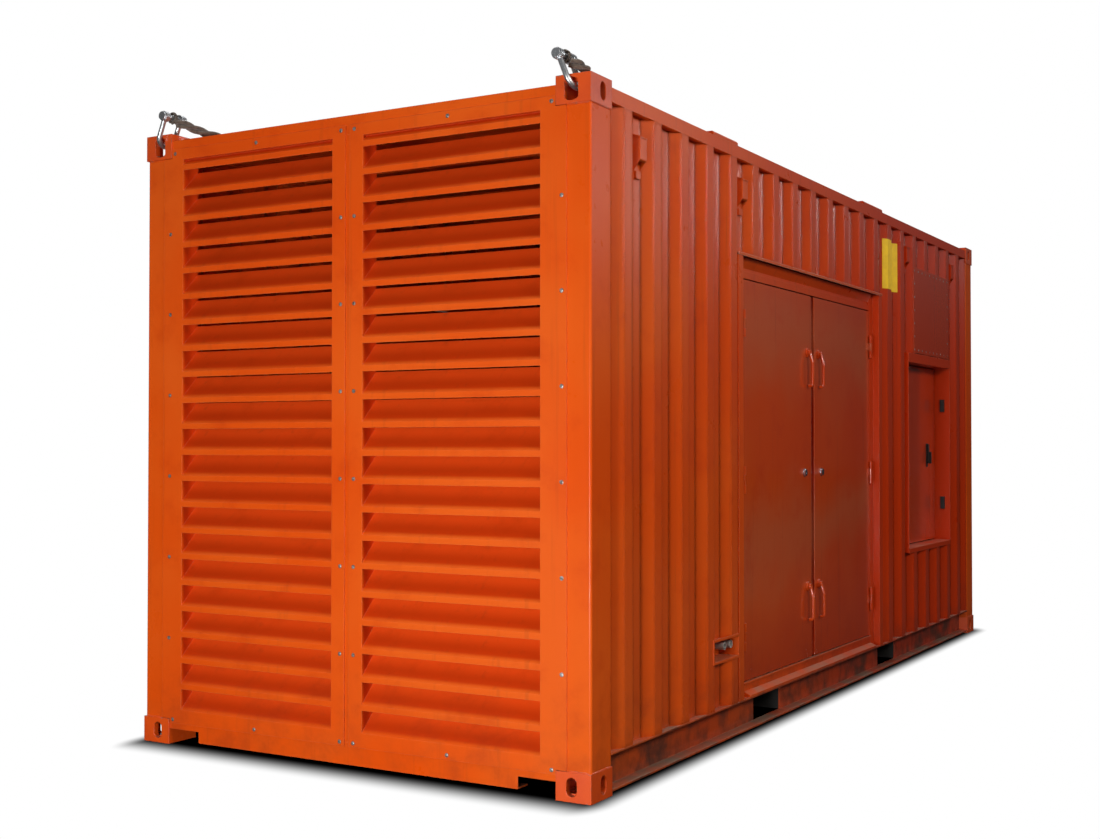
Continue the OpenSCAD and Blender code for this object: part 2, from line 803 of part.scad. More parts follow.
// A jamb at the doorway's front edge: a post, and a return out to the side sheet
module jamb() {
    block([leaf_back, leaf_x], [frame_y0, door_y0], [rail_top, drip_bottom]);
    block([leaf_back, face_x], [frame_y0, frame_y0 + jamb_return], [rail_top, drip_bottom]);
}

// Both jambs of a doorway, each with the fixed halves of its leaf's hinges
module hung_jambs() {
    jamb();
    translate([hinge_x, door_y0, 0]) for (z = hinge_zs) fixed_hinge(barrel_r, z, -1);
    translate([0, 2 * door_mid, 0]) mirror([0, 1, 0]) jamb();
    translate([hinge_x, door_y1, 0]) for (z = hinge_zs) fixed_hinge(barrel_r, z, 1);
}

module right_door_jambs() {
    color(paint) hung_jambs();
}

// The head's section: a face over the leaves, a groove, then a soffit out to the drip rail
module head_section() {
    groove_z = door_top + head_face;
    polygon([[leaf_back, door_top], [leaf_x, door_top], [leaf_x, groove_z],
        [leaf_x - head_groove_d, groove_z], [leaf_x - head_groove_d, groove_z + head_groove],
        [leaf_x + door_recess / 2, drip_bottom], [leaf_back, drip_bottom]]);
}

// The threshold's section: a lip under the leaves, then a sill that slopes out to the rail
module threshold_section() {
    lip = door_recess / 4;
    polygon([[leaf_back, rail_top], [face_x, rail_top], [face_x, rail_top + lip],
        [leaf_x + lip / 2, rail_top + 2.5 * lip], [leaf_x + lip / 2, door_bottom - lip],
        [leaf_x + lip, door_bottom - lip], [leaf_x + lip, door_bottom], [leaf_back, door_bottom]]);
}

module right_door_head() {
    color(paint) along_y(door_y0, door_y1) head_section();
}

module right_door_threshold() {
    color(paint) along_y(door_y0, door_y1) threshold_section();
}

// A channel over each doorway that carries rain past it
module drip_rails() {
    color(paint) both_sides() {
        along_y(frame_y0, frame_y1) difference() {
            translate([leaf_back, drip_bottom]) square([hx - leaf_back, drip_h]);
            translate([leaf_back - 1, drip_bottom - 1])
                square([hx - leaf_back - drip_plate + 1, drip_h - drip_plate + 1]);
        }
        block([leaf_back, leaf_back + drip_plate], [frame_y0, frame_y1], [drip_bottom, drip_top]);
    }
}

// A leaf as a folded tray, open on its inside, from its hinged edge to its rebated meeting edge
module leaf() {
    t = leaf_sheet;
    z = [leaf_z0, leaf_z1];
    full = leaf_w - rebate_w;
    difference() {
        block([leaf_back, leaf_x], [0, leaf_w], z);
        block([leaf_x - rebate_d, leaf_x + 1], [full, leaf_w + 1], z + [-1, 1]);
        block([leaf_back - 1, leaf_x - t], [t, full - t], z + [t, -t]);
        block([leaf_back - 1, leaf_x - rebate_d - t], [t, leaf_w - t], z + [t, -t]);
    }
    for (z = lever_zs) {
        block([leaf_back, leaf_x - t / 2], [t / 2, full - t / 2],
            [z - stiffener_w / 2, z - stiffener_w / 2 + t]);
        block([leaf_back, leaf_back + t], [t / 2, leaf_w - t / 2],
            [z - stiffener_w / 2, z + stiffener_w / 2]);
    }
}

// The leaf at the doorway's front edge, and the one at its rear edge, with their knuckles
module front_leaf() {
    translate([0, door_y0 + leaf_gap, 0]) leaf();
    translate([hinge_x, door_y0, 0]) for (z = hinge_zs)
        knuckle(barrel_r, z - knuckle_l / 2, z + knuckle_l / 2, 1, true);
}

module rear_leaf() {
    translate([0, door_y1 - leaf_gap, 0]) mirror([0, 1, 0]) leaf();
    translate([hinge_x, door_y1, 0]) for (z = hinge_zs)
        knuckle(barrel_r, z - knuckle_l / 2, z + knuckle_l / 2, -1, true);
}

module right_door_front() {
    color(paint) front_leaf();
}

module right_door_rear() {
    color(paint) rear_leaf();
}

module bosses(side) {
    for (z = lever_zs) translate([leaf_x, door_mid + side * lever_from_meeting, z])
        rotate([0, 90, 0]) difference() {
            cylinder(r = boss_r, h = boss_t);
            translate([0, 0, -1]) cylinder(r = spindle_r + run_gap, h = boss_t + 2);
        }
}

module front_leaf_bosses() {
    color(paint) bosses(-1);
}

module rear_leaf_bosses() {
    color(paint) bosses(1);
}

module key_lock(side) {
    translate([leaf_x, door_mid + side * lock_from_meeting, lock_z]) rotate([0, 90, 0])
        difference() {
            union() {
                cylinder(r = key_r, h = key_t);
                cylinder(r = key_r + 4, h = key_t / 4);
            }
            translate([-1.5, -key_r / 2, key_t - 3]) cube([3, key_r, 4]);
        }
}

module front_leaf_lock() {
    color(steel) key_lock(-1);
}

module rear_leaf_lock() {
    color(steel) key_lock(1);
}

// A round bar between two points
module bar(from, to, r) {
    way = to - from;
    translate(from) rotate([0, acos(way[2] / norm(way)), atan2(way[1], way[0])])
        cylinder(r = r, h = norm(way));
}

// A lever on a spindle in its boss: a hub, a slanting part, a grip, and a foot bent to the leaf
module lever(side, z) {
    seat = 0.3;
    hub_x = boss_t + 1;
    foot_z = lever_r - lever_l;
    translate([leaf_x, door_mid + side * lever_from_meeting, z]) {
        translate([seat, 0, 0]) rotate([0, 90, 0]) cylinder(r = spindle_r, h = hub_x);
        translate([hub_x, 0, 0]) rotate([0, 90, 0]) cylinder(r = hub_r, h = hub_t);
        bar([hub_x + hub_t / 2, 0, 0], [lever_out, 0, -lever_crank], lever_r);
        translate([lever_out, 0, -lever_crank]) sphere(knee_r);
        bar([lever_out, 0, -lever_crank], [lever_out, 0, foot_z + lever_bend], lever_r);
        translate([lever_out - lever_bend, 0, foot_z + lever_bend]) rotate([-90, 0, 0])
            rotate_extrude(angle = 90) translate([lever_bend, 0]) circle(lever_r);
        bar([lever_out - lever_bend, 0, foot_z], [lever_foot_gap, 0, foot_z], lever_r);
    }
}

module lever_front_upper() {
    color(paint) lever(-1, lever_high);
}

module lever_front_lower() {
    color(paint) lever(-1, lever_low);
}

module lever_rear_upper() {
    color(paint) lever(1, lever_high);
}

module lever_rear_lower() {
    color(paint) lever(1, lever_low);
}

module left_door_frame() {
    color(paint) left_side() {
        hung_jambs();
        along_y(door_y0, door_y1) head_section();
        along_y(door_y0, door_y1) threshold_section();
    }
}

module left_door_leaves() {
    color(paint) left_side() {
        front_leaf();
        rear_leaf();
    }
}

module left_door_levers() {
    color(paint) left_side() for (side = [-1, 1], z = lever_zs) {
        translate([leaf_x, door_mid + side * lever_from_meeting, z]) rotate([0, 90, 0])
            cylinder(r = boss_r, h = boss_t);
        lever(side, z);
    }
}

// Louvre panels

// A blade's section in depth and height: an upright lip, then a slope that rises inwards
module blade_section() {
    back_drop = louvre_sheet * sqrt(blade_run * blade_run + blade_rise * blade_rise) / blade_run;
    polygon([[0, 0], [0, blade_lip], [blade_run, blade_lip + blade_rise],
        [blade_run, blade_lip + blade_rise - back_drop],
        [louvre_sheet, blade_lip + louvre_sheet * blade_rise / blade_run - back_drop],
        [louvre_sheet, 0]]);
}

// A flanged panel with a casing round its blades, for the right half of the front end
module louvre_panel() {
    t = louvre_sheet;
    flange_y = [-louvre_face, -face_y];
    difference() {
        union() {
            block([louvre_x0, beam_x - louvre_clear], flange_y, [louvre_bottom, louvre_top]);
            block([beam_x - louvre_clear - 1, louvre_x1], flange_y,
                [casting_h + louvre_clear, frame_top - louvre_clear]);
            block([blade_x0 - t, blade_x1 + t], [-louvre_face, louvre_depth - louvre_face],
                [blade_z0 - t, blade_z1 + t]);
        }
        block([blade_x0, blade_x1], [-louvre_face - 1, louvre_depth - louvre_face + 1],
            [blade_z0, blade_z1]);
    }
    intersection() {
        for (i = [0:blade_count])
            along_x(blade_x0 - t / 2, blade_x1 + t / 2)
                translate([-louvre_face, blade_z1 - blade_start - i * blade_pitch])
                    blade_section();
        block([blade_x0 - t, blade_x1 + t], [-louvre_face - 1, louvre_depth - louvre_face],
            [blade_z0 - t / 2, blade_z1 + t / 2]);
    }
}

module front_louvre_right() {
    color(paint) louvre_panel();
}

module front_louvre_left() {
    color(paint) left_side() louvre_panel();
}

module rear_louvre_right() {
    color(paint) mirror([0, 1, 0]) louvre_panel();
}

module rear_louvre_left() {
    color(paint) mirror([0, 1, 0]) left_side() louvre_panel();
}

// Vent covers, outlet box and control recess

// A cover over a vent, seated in an inner face of the corrugation: a box open on its slanting
// underside, a cap that overhangs it, and a foot
module vent_cover(valley) {
    t = vent_sheet;
    half = vent_h / 2;
    cap_x = (face_x + hx) / 2;
    translate([0, crest_ref + corr_pitch * (valley + 0.5), height - vent_drop]) {
        difference() {
            along_y(-vent_w / 2, vent_w / 2)
                polygon([[valley_x, -half], [face_x, vent_slant - half], [face_x, half - vent_cap],
                    [valley_x, half]]);
            along_y(t - vent_w / 2, vent_w / 2 - t)
                polygon([[valley_x + t, -half - t], [face_x - t, vent_slant - half - t],
                    [face_x - t, half - vent_cap - t], [valley_x + t, half - 2 * t]]);
        }
        along_y(-vent_w / 2 - t, vent_w / 2 + t)
            polygon([[valley_x, half - t], [cap_x, half - vent_cap - t], [cap_x, half - vent_cap + t],
                [valley_x, half + t]]);
        block([valley_x, valley_x + 4 * t], [-vent_w / 3, vent_w / 3],
            [-half - vent_foot, t - half]);
    }
}

module side_vents() {
    color(paint) both_sides() for (valley = [0, 4, valley_count - 5, valley_count - 1])
        vent_cover(valley);
}

// A sheet box let into the wall, with a rim on the outer faces of the corrugation
module outlet_box() {
    rim_x = (face_x + hx) / 2;
    inner_y = [outlet_y0 + outlet_rim, outlet_y1 - outlet_rim];
    inner_z = [outlet_z0 + outlet_rim, outlet_z1 - outlet_rim];
    t = louvre_sheet;
    color(paint) difference() {
        union() {
            block([face_x, hx], [outlet_y0, outlet_y1], [outlet_z0, outlet_z1]);
            block([face_x - outlet_d, rim_x], inner_y + [-t, t], inner_z + [-t, t]);
        }
        block([face_x - outlet_d + t, hx + 1], inner_y, inner_z);
    }
}

module outlet_fittings() {
    back = face_x - outlet_d + louvre_sheet;
    mid = (outlet_y0 + outlet_y1) / 2 + outlet_pitch;
    z = outlet_z1 - outlet_rim - 2 * outlet_r;
    color(steel) for (side = [-1, 1]) translate([back, mid + side * outlet_pitch / 2, z])
        rotate([0, 90, 0]) difference() {
            union() {
                cylinder(r = outlet_r, h = outlet_l);
                cylinder(r = outlet_r + 2, h = outlet_l / 4);
            }
            translate([0, 0, outlet_l / 2]) cylinder(r = outlet_r * 0.7, h = outlet_l);
        }
}

// The recess's upright sides with the stops behind the door, and the door's fixed hinges
module control_recess_sides() {
    t = control_plate;
    z = [control_bottom - t, control_top + t];
    color(paint) {
        block([control_stop_x - t, hx], [control_y0 - t, control_y0], z);
        block([control_stop_x - t, control_stop_x], [control_y0 - t, control_y0 + control_stop],
            [control_bottom, control_top]);
        translate([control_pin_x, control_pin_y, 0]) for (z = control_hinge_zs)
            control_fixed_hinge(z);
        block([control_stop_x - t, hx], [control_y1, control_y1 + t], z);
        block([control_stop_x - t, control_stop_x], [control_y1 - control_stop, control_y1 + t],
            [control_bottom, control_top]);
    }
}

// Fixed knuckles on the recess's front side, with the pin between them
module control_fixed_hinge(z) {
    step = knuckle_l / 2 + knuckle_gap;
    reach = control_pin_y - control_y0;
    for (side = [-1, 1]) translate([0, 0, z + side * (step + knuckle_l / 2) - knuckle_l / 2]) {
        cylinder(r = control_barrel_r, h = knuckle_l);
        translate([-flap_t, -reach, 0]) cube([2 * flap_t, reach, knuckle_l]);
    }
    translate([0, 0, z - step - 1]) cylinder(r = pin_r, h = 2 * step + 2);
}

// The recess's floor: a stop behind the door, a plate, and a sill that slopes out over the sheet
module control_recess_sill() {
    t = control_plate;
    color(paint) {
        along_y(control_y0, control_y1)
            polygon([[control_stop_x - t, control_bottom - t], [hx, control_bottom - control_lip],
                [hx, control_bottom - t], [face_x - 2 * t, control_bottom],
                [control_stop_x - t, control_bottom]]);
        block([control_stop_x - t, control_stop_x], control_stop_y,
            [control_bottom - t, control_bottom + control_stop]);
    }
}

// The recess's ceiling, with its stop and a hood lip that closes the sheet above
module control_recess_hood() {
    t = control_plate;
    color(paint) {
        along_y(control_y0, control_y1)
            polygon([[control_stop_x - t, control_top], [hx, control_top],
                [hx, control_top + control_hood], [valley_x - sheet, control_top + control_hood],
                [valley_x - sheet, control_top + t], [control_stop_x - t, control_top + t]]);
        block([control_stop_x - t, control_stop_x], control_stop_y,
            [control_top - control_stop, control_top + t]);
    }
}

// A folded tray hung on the recess's front side
module control_door() {
    t = leaf_sheet;
    y = [control_y0 + control_gap, control_y1 - control_edge_gap];
    z = [control_bottom + control_gap, control_top - control_gap];
    color(paint) {
        difference() {
            block([control_back, control_x], y, z);
            block([control_back - 1, control_x - t], y + [t, -t], z + [t, -t]);
        }
        translate([control_pin_x, control_pin_y, 0]) for (z = control_hinge_zs)
            knuckle(control_barrel_r, z - knuckle_l / 2, z + knuckle_l / 2, 1, true);
    }
}

// A dished plate on the control door, with a socket for the handle's spindle
module control_handle_dish() {
    w = control_handle_w + 10;
    l = control_handle_l + 30;
    color(black) translate([control_x, control_handle_y, control_handle_z]) difference() {
        translate([0, -w / 2, w / 2 - l]) rotate([90, 0, 90]) linear_extrude(flap_t)
            round_rect([w, l], w / 4);
        translate([-1, 0, 0]) rotate([0, 90, 0])
            cylinder(r = spindle_r + run_gap, h = flap_t + 2);
    }
}

// A flat lever that hangs in front of the dish and turns about its upper end
module control_handle() {
    seat = 0.3;
    lift = flap_t + seat;
    color(black) translate([control_x, control_handle_y, control_handle_z]) {
        translate([seat, 0, 0]) rotate([0, 90, 0]) cylinder(r = spindle_r, h = lift + 5);
        translate([lift, -control_handle_w / 2, control_handle_w / 2 - control_handle_l])
            rotate([90, 0, 90]) linear_extrude(control_handle_t)
                round_rect([control_handle_w, control_handle_l], control_handle_w / 3);
        translate([lift + control_handle_t, -control_handle_w / 4, control_handle_w / 2 - control_handle_l])
            rotate([90, 0, 90]) linear_extrude(1.5 * control_handle_t)
                round_rect([control_handle_w / 2, control_handle_l * 0.6], control_handle_w / 5);
    }
}

// Two small catches on the recess's rear side
module control_catches() {
    catch_h = 88;
    catch_t = 12;
    color(black) for (z = [0.215, 0.783]) translate([0, 0, control_bottom + z * (control_top
        - control_bottom)])
        block([control_x + 40, control_x + 70], [control_y1 - catch_t, control_y1],
            [-catch_h / 2, catch_h / 2]);
}

module control_top_panel() {
    y = control_y0 + panel_in;
    z = control_top + panel_rise;
    color(paint) block([face_x, face_x + panel_t], [y, y + panel_w], [z, z + panel_h]);
}

// Roof edge and lifting gear

module roof_pads() {
    color(paint) both_sides() for (pad = [[pad_first, pad_first_l], [pad_second, pad_second_l]])
        along_y(pad[0] - hy, pad[0] + pad[1] - hy)
            polygon([[face_x - top_rail, top_rail_top], [face_x, top_rail_top],
                [face_x, top_rail_top + pad_t * 0.6], [face_x - pad_t * 0.4, top_rail_top + pad_t],
                [face_x - top_rail, top_rail_top + pad_t]]);
}

// Moves from the origin to a bow's centre, leaning to the middle
module at_shackle() {
    translate([shackle_x, shackle_y, shackle_z]) rotate([0, -shackle_lean, 0]) children();
}

// A bow through a casting's end hole and top aperture, with an eye on each leg
module shackle_bow() {
    difference() {
        union() {
            rotate([0, 90, 0]) rotate([0, 0, -90]) rotate_extrude(angle = 180)
                translate([shackle_bend, 0]) circle(shackle_r);
            for (side = [-1, 1]) {
                translate([0, side * shackle_bend, 0]) cylinder(r = shackle_r, h = shackle_l);
                translate([0, side * shackle_bend + shackle_eye_t / 2, shackle_l])
                    rotate([90, 0, 0]) cylinder(r = shackle_eye_r, h = shackle_eye_t);
            }
        }
        translate([0, shackle_bend + shackle_eye_t, shackle_l]) rotate([90, 0, 0])
            cylinder(r = shackle_pin_r + shackle_pin_gap, h = 2 * (shackle_bend + shackle_eye_t));
    }
}

module shackle_bows() {
    color(steel) both_sides() at_shackle() shackle_bow();
}

// A pin with a head at each end, through both eyes
module shackle_pins() {
    half = shackle_bend + shackle_eye_t / 2 + shackle_pin_gap;
    color(steel) both_sides() at_shackle() translate([0, 0, shackle_l]) {
        translate([0, half, 0]) rotate([90, 0, 0]) cylinder(r = shackle_pin_r, h = 2 * half);
        for (side = [-1, 1]) translate([0, side * (half + shackle_head_t / 2), 0])
            rotate([90, 0, 0]) cylinder(r = shackle_head_r, h = shackle_head_t, center = true);
    }
}

module sling_eyes() {
    color(fibre) both_sides() translate([shackle_pin_x, shackle_y, shackle_pin_z])
        rotate([90, 0, 0]) rotate_extrude() translate([sling_eye_r, 0]) circle(sling_eye_rope);
}

// A ring of points round the sling's route, square to it
function route_dir(path, i) =
    let (a = path[max(i - 1, 0)], b = path[min(i + 1, len(path) - 1)]) (b - a) / norm(b - a);
function ring(path, i, r, sides) =
    let (d = route_dir(path, i),
        across = cross([0, 0, 1], d) / norm(cross([0, 0, 1], d)),
        over = cross(d, across))
    [for (k = [0:sides - 1]) let (a = 360 * k / sides)
        path[i] + r * (cos(a) * across + sin(a) * over)];

// A round rope swept along a route
module rope(path, r, sides) {
    last = len(path) - 1;
    points = [for (i = [0:last]) each ring(path, i, r, sides)];
    walls = [for (i = [0:last - 1], k = [0:sides - 1]) let (n = (k + 1) % sides)
        [i * sides + k, i * sides + n, (i + 1) * sides + n, (i + 1) * sides + k]];
    ends = [[for (k = [sides - 1:-1:0]) k], [for (k = [0:sides - 1]) last * sides + k]];
    polyhedron(points, concat(walls, ends), convexity = 6);
}

module sling_rope() {
    color(fibre) rope(sling_route, sling_r, sling_sides);
}

corner_posts();
top_castings();
bottom_castings();
end_headers();
end_sills();
centre_posts();
top_rails();
rail_strips();
rail_webs();
fork_pockets();
floor_bearers();
floor_deck();
roof_sheet();
right_wall_front();
right_wall_over_door();
right_wall_middle();
right_wall_over_control();
right_wall_under_control();
right_wall_rear();
left_wall_front();
left_wall_over_door();
left_wall_rear();
right_door_jambs();
right_door_head();
right_door_threshold();
drip_rails();
right_door_front();
right_door_rear();
front_leaf_bosses();
rear_leaf_bosses();
front_leaf_lock();
rear_leaf_lock();
lever_front_upper();
lever_front_lower();
lever_rear_upper();
lever_rear_lower();
left_door_frame();
left_door_leaves();
left_door_levers();
front_louvre_left();
front_louvre_right();
rear_louvre_left();
rear_louvre_right();
side_vents();
outlet_box();
outlet_fittings();
control_recess_sides();
control_recess_sill();
control_recess_hood();
control_door();
control_handle_dish();
control_handle();
control_catches();
control_top_panel();
roof_pads();
shackle_bows();
shackle_pins();
sling_eyes();
sling_rope();
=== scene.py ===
"""Looks of a generator set in a steel container enclosure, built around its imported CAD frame."""
import math

import bmesh
import bpy
from mathutils import Matrix, Vector


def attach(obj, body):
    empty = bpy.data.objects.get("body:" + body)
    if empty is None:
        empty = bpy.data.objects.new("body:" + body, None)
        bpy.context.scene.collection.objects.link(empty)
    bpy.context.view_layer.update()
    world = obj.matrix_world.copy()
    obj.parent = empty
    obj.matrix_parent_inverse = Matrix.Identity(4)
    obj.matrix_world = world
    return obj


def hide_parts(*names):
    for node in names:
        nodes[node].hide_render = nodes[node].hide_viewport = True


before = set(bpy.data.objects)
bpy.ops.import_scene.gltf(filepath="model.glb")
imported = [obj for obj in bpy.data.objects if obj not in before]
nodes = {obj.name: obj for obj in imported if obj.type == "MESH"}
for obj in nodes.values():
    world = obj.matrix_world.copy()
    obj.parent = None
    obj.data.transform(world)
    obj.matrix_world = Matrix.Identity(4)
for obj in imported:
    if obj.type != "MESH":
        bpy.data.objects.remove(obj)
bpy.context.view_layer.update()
scene = bpy.context.scene


# Camera, at the photograph's viewing angle
IMAGE_WIDTH = 1100
FOCAL_PIXELS = 1422.8
SENSOR_MM = 36.0
CAMERA_AT = (3.908, -7.952, 1.420)
CAMERA_AZIMUTH = math.radians(30.30)
CAMERA_ELEVATION = math.radians(-0.97)


def place_camera():
    data = bpy.data.cameras.new("camera")
    data.sensor_fit = "HORIZONTAL"
    data.sensor_width = SENSOR_MM
    data.lens = FOCAL_PIXELS * SENSOR_MM / IMAGE_WIDTH
    data.clip_end = 200
    camera = bpy.data.objects.new("camera", data)
    scene.collection.objects.link(camera)
    level = math.cos(CAMERA_ELEVATION)
    back = Vector((math.sin(CAMERA_AZIMUTH) * level, -math.cos(CAMERA_AZIMUTH) * level,
                   math.sin(CAMERA_ELEVATION)))
    right = Vector((math.cos(CAMERA_AZIMUTH), math.sin(CAMERA_AZIMUTH), 0))
    turn = Matrix((right, back.cross(right), back)).transposed()
    camera.matrix_world = Matrix.Translation(CAMERA_AT) @ turn.to_4x4()
    scene.camera = camera


place_camera()


# Materials

class Wire:
    """An output socket, with arithmetic that adds Math nodes to its finish."""

    def __init__(self, finish, socket):
        self.finish = finish
        self.socket = socket

    def math(self, operation, *values):
        return self.finish.node("ShaderNodeMath", {"operation": operation},
                                dict(enumerate(values)))

    def __add__(self, other):
        return self.math("ADD", self, other)

    def __radd__(self, other):
        return self.math("ADD", other, self)

    def __sub__(self, other):
        return self.math("SUBTRACT", self, other)

    def __rsub__(self, other):
        return self.math("SUBTRACT", other, self)

    def __mul__(self, other):
        return self.math("MULTIPLY", self, other)

    def __rmul__(self, other):
        return self.math("MULTIPLY", other, self)

    def __truediv__(self, other):
        return self.math("DIVIDE", self, other)

    def __gt__(self, other):
        return self.math("GREATER_THAN", self, other)

    def __lt__(self, other):
        return self.math("LESS_THAN", self, other)

    def power(self, exponent):
        return self.math("POWER", self, exponent)

    def least(self, other):
        return self.math("MINIMUM", self, other)

    def most(self, other):
        return self.math("MAXIMUM", self, other)

    def size(self):
        return self.math("ABSOLUTE", self)

    def fade(self, low, high, to_low=0.0, to_high=1.0):
        """A soft step from to_low to to_high between two values."""
        return self.finish.node("ShaderNodeMapRange", {"interpolation_type": "SMOOTHSTEP"},
                                {0: self, 1: low, 2: high, 3: to_low, 4: to_high})


class Finish:
    """A material and the nodes that make it."""

    def __init__(self, name, tree=None):
        if tree is None:
            self.material = bpy.data.materials.new(name)
            self.material.use_nodes = True
            tree = self.material.node_tree
        self.tree = tree
        self.tree.nodes.clear()

    def node(self, kind, settings=None, sockets=None, out=0):
        """Adds a node: its settings first, then values or wires on its sockets."""
        made = self.tree.nodes.new(kind)
        for key, value in (settings or {}).items():
            if key == "stops":
                ramp = made.color_ramp.elements
                while len(ramp) < len(value):
                    ramp.new(0.5)
                for stop, (at, colour) in zip(ramp, value):
                    stop.position = at
                    stop.color = (*colour, 1)
            else:
                setattr(made, key, value)
        for key, value in (sockets or {}).items():
            if isinstance(value, Wire):
                self.tree.links.new(value.socket, made.inputs[key])
            elif isinstance(value, (tuple, list)) and made.inputs[key].type == "RGBA":
                made.inputs[key].default_value = (*value, 1)
            else:
                made.inputs[key].default_value = value
        return Wire(self, made.outputs[out]) if len(made.outputs) else None

    def place(self):
        """Object coordinates, which are the part's own metres."""
        return self.node("ShaderNodeTexCoord", out="Object")

    def stretched(self, scale, shift=(0, 0, 0)):
        return self.node("ShaderNodeMapping", None,
                         {"Vector": self.place(), "Scale": scale, "Location": shift})

    def noise(self, where, scale, detail=4.0, rough=0.55):
        return self.node("ShaderNodeTexNoise", None,
                         {"Vector": where, "Scale": scale, "Detail": detail,
                          "Roughness": rough})

    def cells(self, where, scale, feature="F1"):
        return self.node("ShaderNodeTexVoronoi", {"feature": feature},
                         {"Vector": where, "Scale": scale})

    def axis(self, vector, name):
        return self.node("ShaderNodeSeparateXYZ", None, {0: vector}, name)

    def facing(self):
        return self.node("ShaderNodeNewGeometry", out="Normal")

    def mix(self, share, first, second):
        return self.node("ShaderNodeMix", {"data_type": "RGBA"},
                         {0: share, 6: first, 7: second}, 2)

    def rounded(self, radius):
        """The normal as if the edges were rounded off."""
        return self.node("ShaderNodeBevel", {"samples": 4}, {"Radius": radius})

    def edges(self, radius):
        """1 on edges, 0 on flats: where wear goes, and the drip rails' painted highlight."""
        soft = self.rounded(radius)
        flat = self.facing()
        along = self.node("ShaderNodeVectorMath", {"operation": "DOT_PRODUCT"},
                          {0: soft, 1: flat}, "Value")
        return (1 - along).fade(0.02, 0.2)

    def bump(self, height, strength, distance, normal=None):
        sockets = {"Height": height, "Strength": strength, "Distance": distance}
        if normal is not None:
            sockets["Normal"] = normal
        return self.node("ShaderNodeBump", None, sockets)

    def surface(self, **sockets):
        """The one shader of the finish, with its fixed values set on its own sockets."""
        named = {key.replace("_", " "): value for key, value in sockets.items()}
        shader = self.node("ShaderNodeBsdfPrincipled", None, named)
        self.node("ShaderNodeOutputMaterial", None, {"Surface": shader})
        return self.material


PAINT = (0.70, 0.075, 0.0035)
PAINT_FADED = (0.76, 0.125, 0.012)
PAINT_DEEP = (0.52, 0.035, 0.002)
# Painted shade: the tone the sides take towards the rear
PAINT_REAR_SHADE = (0.56, 0.030, 0.0012)
PRIMER = (0.28, 0.20, 0.15)
RUST = (0.10, 0.028, 0.008)
DUST = (0.40, 0.30, 0.22)
GRIME = (0.045, 0.022, 0.014)
# Painted shade for the louvre slopes, and a painted fill light for deeper in the louvres
BLADE_SLOPE_SHADE = (0.60, 0.042, 0.003)
BLADE_TOP_FILL_LIGHT = (0.85, 0.080, 0.008)


